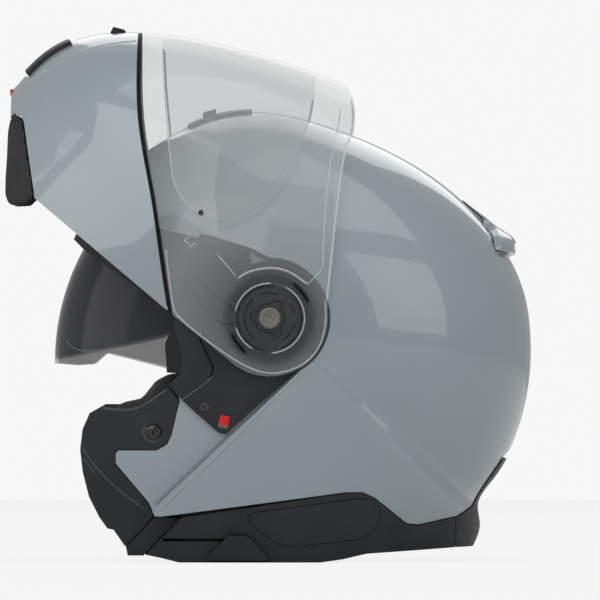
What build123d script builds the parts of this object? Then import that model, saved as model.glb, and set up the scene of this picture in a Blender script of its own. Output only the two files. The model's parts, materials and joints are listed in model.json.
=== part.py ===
from build123d import *
import os
from math import cos, radians, sin

# A modular motorcycle helmet with its chin bar raised, its clear visor shut
# against the chin bar and its dark sun visor lowered.
# Lengths are millimetres. Z is up, the wearer faces -Y and the wearer's left
# is +X. The helmet stands on Z = 0 and its side hinge lies on X at Y = 0.

# Driving dimensions
dome_radius = 124.0          # side hinge to the crown of the painted dome
shell_half_width = 121.0     # middle plane to the side of the dome, at the hinge
chin_proud = 2.5             # chin bar and visor outside the dome, at the hinge
closing_angle = 82.0         # turn of the chin bar from raised to shut
shell_wall = 3.6             # moulded fibre shell
chin_wall = 4.0              # painted chin bar shell
visor_wall = 2.2             # clear visor
sun_visor_wall = 2.2         # dark inner visor
liner_depth = 36.0           # painted face to the inside of the foam liner
padding_wall = 7.6           # comfort padding inside the foam liner
recess_depth = 8.2           # side recess that the closed chin bar drops into
cover_wall = 3.0             # moulded plastic covers
plate_wall = 2.4             # black side plates in the recess
arm_wall = 2.6               # arms of the chin bar frame
frame_inset = 4.3            # arms below the outside of the chin bar
hinge_bolt_radius = 6.5
hinge_bolt_head = 0.7        # bolt standing out of the visor
sun_visor_radius = 144.5     # sun visor, from its own hinge
sun_visor_half_width = 97.0
sun_pin_radius = 2.5
lock_pin_radius = 2.0
lock_pin_reach = 2.1         # lock pin standing out of its cover
strap_width = 24.0
strap_wall = 2.0

# Clearances
seam = 0.3                   # between fixed pieces that lie edge to edge
running_fit = 0.06           # round hinge bolts and pins
overrun = 60.0               # cutters past what they cut

# Places in the side view are pixels of the photograph, seen from the wearer's
# left, with u to the back and v down. The crown lies 200 pixels from the hinge.
hinge_pixel = (270.0, 318.0)
crown_pixels = 200.0
ground_pixel = 560.0
chin_front_pixel = 12.0      # flat front of the raised chin bar
reach_pixels = 900.0         # past every outline
pixel = dome_radius / crown_pixels
hinge_height = (ground_pixel - hinge_pixel[1]) * pixel
chin_half_width = shell_half_width + chin_proud


def at(u, v):
    """The side-view place, as Y and Z, of a pixel of the photograph."""
    return ((u - hinge_pixel[0]) * pixel, (ground_pixel - v) * pixel)


# Rounded bodies. Each is a loft of side-view outlines, at stations across the
# helmet, that shrink towards the sides as a superellipse does.
side_power = 2.25
station_shares = [0.0, 0.2, 0.4, 0.58, 0.73, 0.85, 0.93, 0.975, 0.9955]

# Outlines round the hinge: angle from the back, and radius as a share of the
# dome radius. The shell's continues the closed chin bar below the face opening.
shell_radius_shares = [
    (0, 1.295), (15, 1.228), (30, 1.133), (45, 1.057), (60, 1.009), (75, 1.0),
    (90, 1.025), (105, 1.042), (120, 1.035), (135, 1.05), (148, 1.075), (158, 1.05),
    (172, 1.15), (185, 1.37), (195, 1.55), (205, 1.67), (216, 1.72), (228, 1.745),
    (240, 1.83), (255, 1.91), (270, 1.91), (285, 1.82), (300, 1.62), (308, 1.55),
    (313, 1.505), (315.5, 1.465), (318, 1.392), (324, 1.37), (334, 1.362), (346, 1.333)]
chin_radius_shares = [
    (15, 1.5), (40, 1.33), (60, 1.22), (75, 1.2325), (90, 1.3025), (105, 1.445),
    (113, 1.548), (121, 1.655), (129, 1.718), (138, 1.718), (146, 1.74), (158, 1.83),
    (173, 1.91), (188, 1.91), (205, 1.91), (230, 1.88), (260, 1.85), (290, 1.8),
    (320, 1.72), (350, 1.62)]
round_radius_shares = [(angle, 1.0) for angle in range(0, 360, 30)]


def rounded_body(centre, radius, radius_shares, half_width, inset):
    """A rounded body round a side axis, with all its faces moved in by an inset."""
    middle = at(*centre)
    stations = [-share for share in reversed(station_shares[1:])] + station_shares
    with BuildPart() as body:
        for share in stations:
            shrink = (1 - abs(share) ** side_power) ** (1 / side_power)
            outline = []
            for angle, radius_share in radius_shares:
                reach = (radius_share * radius - inset) * shrink
                outline.append((middle[0] + reach * cos(radians(angle)),
                                middle[1] + reach * sin(radians(angle))))
            with BuildSketch(Plane.YZ.offset(share * (half_width - inset))):
                with BuildLine():
                    Spline(*outline, periodic=True)
                make_face()
        loft()
    return body.part


made_bodies = {}


def shell_body(inset):
    """The painted dome's outer form, moved in by an inset."""
    key = ("shell", round(inset, 3))
    if key not in made_bodies:
        made_bodies[key] = rounded_body(
            hinge_pixel, dome_radius, shell_radius_shares, shell_half_width, inset)
    return made_bodies[key]


def round_chin_body(inset):
    """The form of the raised chin bar before its front is flattened."""
    key = ("round chin", round(inset, 3))
    if key not in made_bodies:
        made_bodies[key] = rounded_body(
            hinge_pixel, dome_radius, chin_radius_shares, chin_half_width, inset)
    return made_bodies[key]


def chin_body(inset):
    """The form of the raised chin bar and visor, moved in by an inset."""
    key = ("chin", round(inset, 3))
    if key not in made_bodies:
        front = chin_front_pixel + inset / pixel
        behind = side_block([(front, -reach_pixels), (reach_pixels, -reach_pixels),
                             (reach_pixels, reach_pixels), (front, reach_pixels)])
        with BuildPart() as body:
            add(round_chin_body(inset))
            add(behind, mode=Mode.INTERSECT)
        made_bodies[key] = body.part
    return made_bodies[key]


def sun_body(inset):
    """The form that the sun visor slides along, moved in by an inset."""
    key = ("sun", round(inset, 3))
    if key not in made_bodies:
        made_bodies[key] = rounded_body(
            sun_hinge_pixel, sun_visor_radius, round_radius_shares,
            sun_visor_half_width, inset)
    return made_bodies[key]


def slab(body, outer_inset, inner_inset, block):
    """The wall of a rounded body between two insets, inside a block."""
    with BuildPart() as layer:
        add(block)
        add(body(outer_inset), mode=Mode.INTERSECT)
        add(body(inner_inset), mode=Mode.SUBTRACT)
    return layer.part


def side_block(*runs, low=None, high=None, grow=0.0, disc=None, corner=0.0):
    """A block across the helmet with a side-view outline.

    Each run is a list of pixels, drawn as straight lines, or as a curve where
    its first item is the word curve. A disc is a centre pixel and a radius.
    """
    low = -(chin_half_width + overrun) if low is None else low
    high = chin_half_width + overrun if high is None else high
    with BuildPart() as block:
        with BuildSketch(Plane.YZ.offset(low)):
            if runs:
                with BuildLine():
                    start = last = None
                    for run in runs:
                        curved = run[0] == "curve"
                        places = [at(*place) for place in (run[1:] if curved else run)]
                        if last is not None and last != places[0]:
                            Line(last, places[0])
                        if curved:
                            Spline(*places)
                        elif len(places) > 1:
                            Polyline(*places)
                        start = places[0] if start is None else start
                        last = places[-1]
                    Line(last, start)
                make_face()
            if disc is not None:
                with Locations(at(*disc[0])):
                    Circle(disc[1])
            if corner:
                fillet(vertices(), corner)
            if grow:
                offset(amount=grow, kind=Kind.INTERSECTION)
        extrude(amount=high - low)
    return block.part


def less(piece, *cutters):
    """A piece with other solids cut out of it."""
    with BuildPart() as rest:
        add(piece)
        for cutter in cutters:
            add(cutter, mode=Mode.SUBTRACT)
    return rest.part


def side_rod(centre, radius, low, high):
    """A round rod across the helmet, at a side-view pixel."""
    with BuildPart() as rod:
        with BuildSketch(Plane.YZ.offset(low)):
            with Locations(at(*centre)):
                Circle(radius)
        extrude(amount=high - low)
    return rod.part


def flat_x(half_width, inset):
    """How far out the flat middle of a rounded body's side lies."""
    return station_shares[-1] * (half_width - inset)


def raised(u, v):
    """Where a pixel of the closed chin bar lies when the bar is raised."""
    across, up = u - hinge_pixel[0], hinge_pixel[1] - v
    turn = radians(-closing_angle)
    return (hinge_pixel[0] + across * cos(turn) - up * sin(turn),
            hinge_pixel[1] - across * sin(turn) - up * cos(turn))


def save(piece, label):
    """Name a finished piece and write it."""
    piece.part.label = label
    export_step(piece.part, f"parts/{label}.step")
    print(label, round(piece.part.volume / 1000, 1), "cm3", len(piece.part.solids()), "solids")


def save_pair(left_piece, name):
    """Write the piece for the wearer's left and its mirror image for the right."""
    save(left_piece, f"{name}_left")
    with BuildPart() as right_piece:
        add(mirror(left_piece.part, about=Plane.YZ))
    save(right_piece, f"{name}_right")


def save_group(left_piece, name):
    """Write the same fastener on both sides as one node of separate solids."""
    with BuildPart() as group:
        add(left_piece.part)
        add(mirror(left_piece.part, about=Plane.YZ))
    save(group, name)


# Side-view outlines
sun_hinge_pixel = (288.0, 361.0)
shell_outline_pixels = [
    (20, 198), (66, 226), (120, 262.5), (173, 303.5), (177, 318), (186, 352),
    (186, 372), (178, 388), (181, 400), (172.8, 434), (168.5, 443), (158, 449),
    (120, 449), (117.5, 452), (117.5, 462), (150.4, 501), (156, 514), (162, 514.5),
    (345.7, 490.2), (362, 490.2), (374, 495.6), (406, 521.5), (418, 522.5),
    (456, 514.5), (471, 504.5), (481, 488), (502.5, 456.5), (560, 400), (560, 60), (20, 60)]
recess_outline_pixels = [
    (270, 258), (250, 248), (203, 234), (150, 287), (60, 370), (40, 560),
    (98.7, 560), (309.5, 361.2)]
recess_disc_pixels = 60.0
brow_band_pixels = [
    (20, 199), (66, 227), (120, 263.5), (173, 304.5), (174.5, 314), (120, 275),
    (84, 249), (76, 241), (60, 232), (20, 215)]
temple_outline_pixels = [
    (174, 316), (182, 352), (183, 364), (181, 373), (170, 384), (182.5, 398.5),
    (203, 384), (212, 376.5), (214, 366.5), (207, 352), (201.5, 339.5), (200, 326)]
side_plate_outline_pixels = [
    (201.5, 326), (203, 339.5), (208.3, 352), (215.3, 366.5), (213.3, 377.3),
    (204, 385), (183.5, 399.3), (204, 418), (219, 431), (226, 433), (232, 427.5),
    (300.5, 367.5), (290, 342)]
front_cover_pixels = [
    (104, 405), (91.6, 412), (84.5, 428), (82, 448), (84.5, 470.6), (90.6, 495),
    (100.8, 515.5), (109, 526.7), (115, 528), (126.5, 544.5), (149, 521), (154.5, 514),
    (149.2, 501.5), (116.7, 462.5), (116.7, 451.5), (119.5, 448), (158, 448),
    (167.5, 442.3), (171.9, 434), (180, 400), (168.8, 385.2), (145.7, 405)]
toe_outline_pixels = [
    (155.5, 515), (181, 516.5), (145.8, 551.5), (145, 553.5), (129, 553.5),
    (127.5, 545.5), (150, 521.8)]
trim_top_pixels = [
    (182.5, 515.5), (345.7, 491.2), (362, 491.2), (373.6, 496.6), (405.6, 522.6),
    (418, 523.6), (454.5, 515.8)]
trim_bottom_pixels = [
    (454.5, 546), (366, 551.5), (342, 557), (320, 560), (180, 560), (162, 555.5),
    (147, 552.5)]
rear_trim_pixels = [
    (455.5, 515.8), (456.5, 515.5), (471.7, 505.4), (482, 488.6), (503.5, 457.4), (540, 470),
    (540, 530), (500, 545), (455.5, 546)]
intercom_outline_pixels = [
    (245, 515.5), (256, 510.4), (356, 497), (370, 498), (380, 508), (380, 518),
    (370, 532), (356, 537), (294.7, 543.7), (280, 542), (264, 532)]
chin_edge_pixels = [
    (138.3, -40), (138.3, 40), (139.5, 121), (152.7, 200), (160, 250), (169, 310.5)]
chin_low_pixels = [(36.9, 199), (36.3, 193.5), (25.4, 122.5), (21.8, 115.8), (16, 113.8),
                   (11.4, 119.5)]
visor_edge_pixels = [
    (142.6, -40), (142.6, 40), (143.8, 121), (157, 200), (164.4, 250), (174, 314.5)]
visor_rear_pixels = [
    (327, 312), (335, 230), (344, 155), (354, 133), (355.3, 112), (353, 98), (345, 84),
    (345, -40)]
insert_outline_pixels = [
    (163, 43), (164, 86), (169, 142), (173, 183), (184, 205), (201, 218), (226, 224),
    (247, 217), (270, 201), (287, 176), (299, 152), (312, 118), (318, 60)]
frame_outline_pixels = [
    (252, 263), (250.5, 255), (249.5, 251), (204, 240), (158, 228), (146, 160),
    (134, 60), (134, -40), (70, -40), (70, 60), (76, 130), (108, 232), (150, 291),
    (172, 308.5), (235, 358)]
hub_disc_pixels = 56.5
deflector_outline_pixels = [
    (16, 115), (21, 117), (24.5, 123), (35.5, 194), (35.5, 198), (32, 203), (24, 206.5),
    (16, 206.5), (10.8, 203), (8.3, 195), (8.3, 179), (9.5, 158), (10, 133), (12.4, 122)]
chin_padding_pixels = [
    (17, -40), (17, 110), (24, 119), (28, 150), (132, 133), (132, -40)]


liner_outline_pixels = [
    (20, 206), (78, 236), (172, 307), (186, 318), (196, 345), (196, 378), (178, 398),
    (150, 412.5), (112, 412.5), (99, 422), (93, 440), (92, 460), (95, 480), (101.5, 499),
    (110, 515), (117, 525), (122.5, 530), (146.5, 518), (153, 511.5), (183.5, 513.5),
    (183.5, 547), (248, 547), (248, 503), (560, 503), (560, 40), (20, 40)]
sun_sweep_pixels = [
    (303, 377), (303, 340), (262, 120), (20, 120), (20, 402), (200, 381)]
crown_liner_pixels = [
    (92, 246), (150, 290), (212, 330), (300, 352), (430, 352), (430, 60), (92, 60)]
cheek_pad_pixels = [
    (170, 371), (152, 379), (140, 392), (112, 404), (102, 428), (100, 460), (108, 496),
    (136, 518), (220, 521), (296, 518), (327, 490), (326, 440), (296, 402), (232, 380)]
neck_roll_pixels = [
    (250, 504.5), (460, 504.5), (476, 508), (478, 530), (470, 545), (366, 546.5),
    (250, 549)]
strap_anchor_pixels = [(197, 524), (233, 524), (233, 540), (197, 540)]
sun_lens_pixels = [
    (20, 362.5), (59, 363.5), (78, 365), (95, 364), (107.6, 353), (129, 358),
    (167.3, 367.8), (165.2, 344), (171.8, 328.5), (174.7, 321), (150, 285), (96, 230),
    (60, 210), (20, 210)]
sun_carrier_pixels = [
    (167.6, 368.2), (165.6, 344), (172.2, 328.5), (175.2, 321), (200, 334),
    (288, 348), (288, 374), (200, 374), (168, 372)]

os.makedirs("parts", exist_ok=True)

# Cutters that several pieces share
side_reach = chin_half_width + overrun
recess_disc = (hinge_pixel, recess_disc_pixels * pixel)
recess_block = side_block(recess_outline_pixels, disc=recess_disc)
recess_frame_block = side_block(recess_outline_pixels, disc=recess_disc, grow=shell_wall)
hinge_bore = side_rod(hinge_pixel, hinge_bolt_radius + running_fit, -side_reach, side_reach)

# Rear spoiler, a fan-shaped cap let into the back of the dome, with its outlet slot
spoiler_depth = 2.4
spoiler_lean = 22.0          # its middle, in degrees above the level of the hinge
spoiler_top_pixel = (461.4, 200.0)
spoiler_half_span = 39.0
spoiler_length = 43.9
spoiler_body_half_width = 92.0
spoiler_side_shares = [
    (0.97, 0.91), (1.0, 0.83), (0.9, 0.74), (0.69, 0.64), (0.43, 0.54), (0.27, 0.42),
    (0.26, 0.3), (0.22, 0.08)]
spoiler_radius_shares = [
    (0, 1.295), (8, 1.258), (12.5, 1.25), (15.2, 1.272), (17.2, 1.286), (21, 1.238),
    (25.2, 1.188), (29.6, 1.144), (37, 1.098), *shell_radius_shares[3:]]
outlet_half_width = 14.0
outlet_pixels = [(509.5, 243.8), (530, 243.8), (530, 249.4), (509.5, 249.4)]


def spoiler_block(grow):
    """The spoiler's outline, square to the back of the dome, grown by a gap."""
    top = at(*spoiler_top_pixel)
    start = (top[0] * sin(radians(spoiler_lean))
             - (top[1] - hinge_height) * cos(radians(spoiler_lean))) - grow
    end = start + spoiler_length + 2 * grow
    side = [(across * (spoiler_half_span + grow), start + down * (end - start))
            for across, down in spoiler_side_shares]
    facing = Plane(origin=(0, 0, hinge_height), x_dir=(1, 0, 0),
                   z_dir=(0, cos(radians(spoiler_lean)), sin(radians(spoiler_lean))))
    with BuildPart() as block:
        with BuildSketch(facing):
            with BuildLine():
                edge = Spline(*side, (0, start), *[(-x, y) for x, y in reversed(side)])
                Polyline(edge @ 1, (0, end), edge @ 0)
            make_face()
        extrude(amount=2 * dome_radius)
    return block.part


with BuildPart() as rear_spoiler:
    add(spoiler_block(0))
    add(rounded_body(hinge_pixel, dome_radius, spoiler_radius_shares,
                     spoiler_body_half_width, 0), mode=Mode.INTERSECT)
    add(shell_body(spoiler_depth), mode=Mode.SUBTRACT)
    add(side_block(outlet_pixels, low=-outlet_half_width, high=outlet_half_width),
        mode=Mode.SUBTRACT)
save(rear_spoiler, "rear_spoiler")

# Painted shell: a thin wall that steps in round the side recess
with BuildPart() as outer_shell:
    add(slab(shell_body, 0, recess_depth + shell_wall, side_block(shell_outline_pixels)))
    add(less(shell_body(shell_wall), recess_frame_block), mode=Mode.SUBTRACT)
    add(less(recess_block, shell_body(recess_depth)), mode=Mode.SUBTRACT)
    add(less(spoiler_block(seam), shell_body(spoiler_depth + seam)), mode=Mode.SUBTRACT)
    add(hinge_bore, mode=Mode.SUBTRACT)
save(outer_shell, "outer_shell")

# Rubber edge of the brow
brow_proud = 0.8
with BuildPart() as brow_trim:
    add(slab(shell_body, -brow_proud, shell_wall, side_block(brow_band_pixels)))
    add(recess_block, mode=Mode.SUBTRACT)
save(brow_trim, "brow_trim")

# Vent on the crown: a fixed base and a slider that opens it
vent_base_wall = 1.8
vent_base_half_width = 24.0
vent_base_span_pixels = (188.0, 252.0)
vent_slider_wall = 2.6
vent_slider_half_width = 12.0
vent_slider_span_pixels = (203.0, 216.0)
vent_corner = 5.0


def crown_plate(span_pixels, half_width, outer_inset, inner_inset, corner):
    """A plate with rounded corners that lies along the crown."""
    front, back = at(span_pixels[0], 0)[0], at(span_pixels[1], 0)[0]
    with BuildPart() as plate:
        with BuildSketch(Plane.XY.offset(hinge_height)):
            with Locations((0, (front + back) / 2)):
                RectangleRounded(2 * half_width, back - front, corner)
        extrude(amount=dome_radius + overrun)
        add(shell_body(outer_inset), mode=Mode.INTERSECT)
        add(shell_body(inner_inset), mode=Mode.SUBTRACT)
    return plate.part


with BuildPart() as top_vent_base:
    add(crown_plate(vent_base_span_pixels, vent_base_half_width, -vent_base_wall,
                    -seam / 3, vent_corner))
save(top_vent_base, "top_vent_base")
with BuildPart() as top_vent_slider:
    add(crown_plate(vent_slider_span_pixels, vent_slider_half_width,
                    -vent_base_wall - seam - vent_slider_wall, -vent_base_wall - seam,
                    vent_corner / 2))
save(top_vent_slider, "top_vent_slider")

# Black covers in the side recess: temple cover, side plate, park lock and screw
plate_top = recess_depth - plate_wall
screw_pixel = (206.0, 405.5)
screw_radius = 2.6
screw_socket_radius = 1.2
screw_socket_depth = 1.2
screw_proud = 0.3
lock_slide_pixels = [(221.2, 413.4), (230.6, 415.4), (228.8, 424.8), (219.4, 422.8)]
lock_window_pixels = [(221.2, 413.4), (230.6, 415.4), (228.2, 427.6), (218.8, 425.6)]
lock_slide_proud = 0.5
lock_gap = 0.36
with BuildPart() as temple_cover:
    add(slab(shell_body, plate_top, recess_depth, side_block(temple_outline_pixels, low=0)))
save_pair(temple_cover, "temple_cover")
with BuildPart() as side_plate:
    add(slab(shell_body, plate_top, recess_depth, side_block(side_plate_outline_pixels, low=0)))
    add(side_block(lock_window_pixels, low=0, grow=lock_gap), mode=Mode.SUBTRACT)
    add(side_rod(screw_pixel, screw_radius, 0, side_reach), mode=Mode.SUBTRACT)
save_pair(side_plate, "side_plate")
with BuildPart() as park_lock:
    add(slab(shell_body, plate_top - lock_slide_proud, recess_depth - seam,
             side_block(lock_slide_pixels, low=0)))
save_pair(park_lock, "park_lock")
with BuildPart() as plate_screws:
    add(slab(shell_body, plate_top - screw_proud, recess_depth,
             side_rod(screw_pixel, screw_radius, 0, side_reach)))
    add(less(side_rod(screw_pixel, screw_socket_radius, 0, side_reach),
             shell_body(plate_top + screw_socket_depth)), mode=Mode.SUBTRACT)
save_group(plate_screws, "plate_screws")

# Front covers, that close the front ends of the shell below the face opening
pin_pixel = (154.5, 430.8)
pin_dish_radius = 6.0
pin_dish_depth = 1.6
cover_inner_x = 56.0
cover_shift = cover_wall / pixel
front_block = side_block(front_cover_pixels, low=cover_inner_x)
front_inner_block = side_block(
    [(u + cover_shift, v + cover_shift) for u, v in front_cover_pixels], low=0)
with BuildPart() as front_cover:
    add(front_block)
    add(shell_body(recess_depth), mode=Mode.INTERSECT)
    add(less(front_inner_block, less(front_block, shell_body(recess_depth + cover_wall))),
        mode=Mode.SUBTRACT)
    add(less(side_rod(pin_pixel, pin_dish_radius, 0, side_reach),
             shell_body(recess_depth + pin_dish_depth)), mode=Mode.SUBTRACT)
    add(side_rod(pin_pixel, lock_pin_radius, 0, side_reach), mode=Mode.SUBTRACT)
    add(shell_body(liner_depth), mode=Mode.SUBTRACT)
save_pair(front_cover, "front_cover")

# Lock pins that the chin bar's latches close on
with BuildPart() as lock_pin:
    add(slab(shell_body, recess_depth - lock_pin_reach, recess_depth + cover_wall,
             side_rod(pin_pixel, lock_pin_radius, 0, side_reach)))
save_pair(lock_pin, "lock_pin")

# Toe blocks under the front covers
toe_proud = 1.2
toe_depth = 9.0
with BuildPart() as trim_toe:
    add(slab(shell_body, recess_depth - toe_proud, recess_depth + toe_depth,
             side_block(toe_outline_pixels, low=cover_inner_x)))
save_pair(trim_toe, "trim_toe")

# Lower trim along the bottom edge, with the seats of the oval covers
trim_proud = 0.8
trim_depth = 3.4
flange_depth = 16.0
flange_pixels = [(182, 560), (320, 560), (342, 557), (366, 551.5), (366, 547.5), (182, 552)]
cover_proud = 0.8
cover_seat = 1.2
intercom_corner = 3.0
with BuildPart() as lower_trim:
    add(slab(shell_body, -trim_proud, trim_depth,
             side_block(trim_top_pixels, trim_bottom_pixels, low=0)))
    add(slab(shell_body, trim_depth, flange_depth, side_block(flange_pixels, low=0)))
    add(less(side_block(intercom_outline_pixels, low=0, corner=intercom_corner, grow=seam),
             shell_body(cover_seat)), mode=Mode.SUBTRACT)
with BuildPart() as intercom_cover:
    add(slab(shell_body, -trim_proud - cover_proud, cover_seat - seam / 3,
             side_block(intercom_outline_pixels, low=0, corner=intercom_corner)))
save_pair(intercom_cover, "intercom_cover")

# The wearer's left trim has the slot that the sun visor's slider runs in
slot_pixels = [(164, 536), (249.5, 536), (249.5, 539), (164, 539)]
slider_plate_pixels = [
    (209, 558), (210, 552), (229, 533.5), (248, 533.5), (268, 554), (266, 558)]
slider_neck_pixels = [(231, 536.5), (248.5, 536.5), (248.5, 538.5), (231, 538.5)]
slider_wall = 2.6
slider_gap = 0.8
with BuildPart() as lower_trim_left:
    add(lower_trim.part)
    add(side_block(slot_pixels, low=0), mode=Mode.SUBTRACT)
save(lower_trim_left, "lower_trim_left")
with BuildPart() as lower_trim_right:
    add(mirror(lower_trim.part, about=Plane.YZ))
save(lower_trim_right, "lower_trim_right")
with BuildPart() as sun_visor_slider:
    add(slab(shell_body, -trim_proud - slider_gap - slider_wall, -trim_proud - slider_gap,
             side_block(slider_plate_pixels, low=0)))
    add(slab(shell_body, -trim_proud - slider_gap - slider_wall / 2, trim_depth - seam,
             side_block(slider_neck_pixels, low=0)))
save(sun_visor_slider, "sun_visor_slider")
with BuildPart() as rear_trim:
    add(slab(shell_body, -trim_proud, trim_depth, side_block(rear_trim_pixels)))
save(rear_trim, "rear_trim")

# Side hinge: a bolt from inside the shell through the chin bar and the visor
hinge_nut_radius = 11.0
hinge_nut_wall = 4.0
hinge_nut_face = flat_x(shell_half_width, recess_depth + shell_wall)
bolt_face = flat_x(chin_half_width, 0) + hinge_bolt_head
bolt_dimple_radius = 2.0
bolt_dimple_depth = 0.8
bolt_chamfer = 0.5
with BuildPart() as hinge_bolt:
    add(side_rod(hinge_pixel, hinge_bolt_radius, hinge_nut_face - hinge_nut_wall, bolt_face))
    chamfer(hinge_bolt.edges().filter_by(GeomType.CIRCLE).sort_by(Axis.X)[-1], bolt_chamfer)
    add(side_rod(hinge_pixel, bolt_dimple_radius, bolt_face - bolt_dimple_depth, side_reach),
        mode=Mode.SUBTRACT)
save_pair(hinge_bolt, "hinge_bolt")
with BuildPart() as hinge_nuts:
    add(side_rod(hinge_pixel, hinge_nut_radius, hinge_nut_face - hinge_nut_wall, hinge_nut_face))
    add(hinge_bore, mode=Mode.SUBTRACT)
save_group(hinge_nuts, "hinge_nuts")

# Foam liner, cut for the recess wall, the hinge nuts and the sun visor's slot
slot_gap = 1.4
sun_hub_radius = 8.0
nut_seat_x = hinge_nut_face + seam
nut_seat_depth = hinge_nut_wall + 2 * seam
sun_sweep_block = side_block(sun_sweep_pixels, disc=(sun_hinge_pixel, sun_hub_radius + slot_gap))
nut_seat = side_rod(hinge_pixel, hinge_nut_radius + seam, nut_seat_x - nut_seat_depth, nut_seat_x)
with BuildPart() as eps_liner:
    add(slab(shell_body, shell_wall + seam, liner_depth, side_block(liner_outline_pixels)))
    add(less(side_block(recess_outline_pixels, disc=recess_disc, grow=shell_wall + seam),
             shell_body(recess_depth + shell_wall + seam)), mode=Mode.SUBTRACT)
    add(slab(sun_body, -slot_gap, sun_visor_wall + slot_gap, sun_sweep_block),
        mode=Mode.SUBTRACT)
    add(nut_seat, mode=Mode.SUBTRACT)
    add(mirror(nut_seat, about=Plane.YZ), mode=Mode.SUBTRACT)
    add(side_rod(sun_hinge_pixel, sun_pin_radius + seam, -side_reach, side_reach),
        mode=Mode.SUBTRACT)
save(eps_liner, "eps_liner")

# Comfort padding: crown liner, cheek pads and neck roll
liner_face = liner_depth + seam
pad_inner_x = 50.0
pad_depth = 36.0
pad_crown_shares = [0.0, 0.04, 0.16, 0.4, 1.0]
pad_size_shares = [0.72, 0.86, 0.96, 1.0, 1.0]
cheek_pad_middle_pixel = (215.0, 452.0)
neck_roll_depth = 30.0
with BuildPart() as crown_liner:
    add(slab(shell_body, liner_face, liner_face + padding_wall,
             side_block(crown_liner_pixels)))
save(crown_liner, "crown_liner")
with BuildPart() as cheek_pad:
    middle = at(*cheek_pad_middle_pixel)
    for crown_share, size_share in zip(pad_crown_shares, pad_size_shares):
        with BuildSketch(Plane.YZ.offset(pad_inner_x + crown_share * pad_depth)):
            with BuildLine():
                Spline(*[(middle[0] + (place[0] - middle[0]) * size_share,
                          middle[1] + (place[1] - middle[1]) * size_share)
                         for place in (at(*corner) for corner in cheek_pad_pixels)],
                       periodic=True)
            make_face()
    loft()
    add(shell_body(liner_face), mode=Mode.INTERSECT)
save_pair(cheek_pad, "cheek_pad")
with BuildPart() as neck_roll:
    add(slab(shell_body, trim_depth + seam, neck_roll_depth, side_block(neck_roll_pixels)))
save(neck_roll, "neck_roll")

# Chin strap, fastened across the neck opening
strap_y = at(215, 0)[0]
buckle_half_length = 18.0
buckle_half_width = 13.0
buckle_floor = 6.0
buckle_height = 5.0
strap_end_z = buckle_floor + buckle_height / 2
strap_sag = 3.4
strap_top_z = 20.5
anchor_depth = liner_face + 1.7
with BuildPart() as strap_anchors:
    add(slab(shell_body, liner_face, anchor_depth, side_block(strap_anchor_pixels, low=0)))
save_group(strap_anchors, "strap_anchors")
with BuildPart() as chin_strap:
    with BuildSketch(Plane.XZ.offset(-strap_y)):
        with BuildLine():
            reach = shell_half_width - liner_depth
            start = buckle_half_length + seam
            middle = ((reach + start) / 2, (strap_end_z + strap_top_z) / 2 - strap_sag)
            lower = ThreePointArc((start, strap_end_z - strap_wall / 2),
                                  (middle[0], middle[1] - strap_wall / 2),
                                  (reach, strap_top_z + strap_wall / 2))
            upper = ThreePointArc((start, strap_end_z + strap_wall / 2),
                                  (middle[0], middle[1] + strap_wall / 2),
                                  (reach, strap_top_z + strap_wall * 3 / 2))
            Line(lower @ 0, upper @ 0)
            Line(lower @ 1, upper @ 1)
        make_face()
    extrude(amount=strap_width / 2, both=True)
    add(shell_body(anchor_depth + seam), mode=Mode.INTERSECT)
save_pair(chin_strap, "chin_strap")

# Strap buckle, with a release lever on a cross pin
lever_hinge_x = 14.0
lever_knuckle_radius = 2.2
lever_pin_radius = 1.2
lever_half_width = 9.5
lever_wall = 2.0
lever_hinge_z = buckle_floor + buckle_height + lever_knuckle_radius + 2 * seam
ear_half_length = 3.0
buckle_corner = 2.0
with BuildPart() as buckle_base:
    with BuildSketch(Plane.XY.offset(buckle_floor)):
        with Locations((0, strap_y)):
            RectangleRounded(2 * buckle_half_length, 2 * buckle_half_width, buckle_corner)
    extrude(amount=buckle_height)
    with BuildSketch(Plane.XZ.offset(-strap_y - buckle_half_width)):
        with Locations((-lever_hinge_x, lever_hinge_z)):
            Circle(ear_half_length)
        with Locations((-lever_hinge_x, (lever_hinge_z + buckle_floor + buckle_height) / 2)):
            Rectangle(2 * ear_half_length, lever_hinge_z - buckle_floor - buckle_height)
    extrude(amount=2 * buckle_half_width)
    with BuildSketch(Plane.XY.offset(buckle_floor + buckle_height)):
        with Locations((0, strap_y)):
            Rectangle(4 * buckle_half_length, 2 * (lever_half_width + seam))
    extrude(amount=4 * ear_half_length, mode=Mode.SUBTRACT)
    with BuildSketch(Plane.XZ.offset(-strap_y - buckle_half_width)):
        with Locations((-lever_hinge_x, lever_hinge_z)):
            Circle(lever_pin_radius)
    extrude(amount=2 * buckle_half_width)
save(buckle_base, "buckle_base")
with BuildPart() as buckle_lever:
    with BuildSketch(Plane.XZ.offset(-strap_y - lever_half_width)):
        with Locations((-lever_hinge_x, lever_hinge_z)):
            Circle(lever_knuckle_radius)
        with Locations((0, lever_hinge_z)):
            Rectangle(2 * lever_hinge_x, lever_wall)
        with Locations((-lever_hinge_x, lever_hinge_z)):
            Circle(lever_pin_radius + running_fit, mode=Mode.SUBTRACT)
    extrude(amount=2 * lever_half_width)
save(buckle_lever, "buckle_lever")

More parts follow.
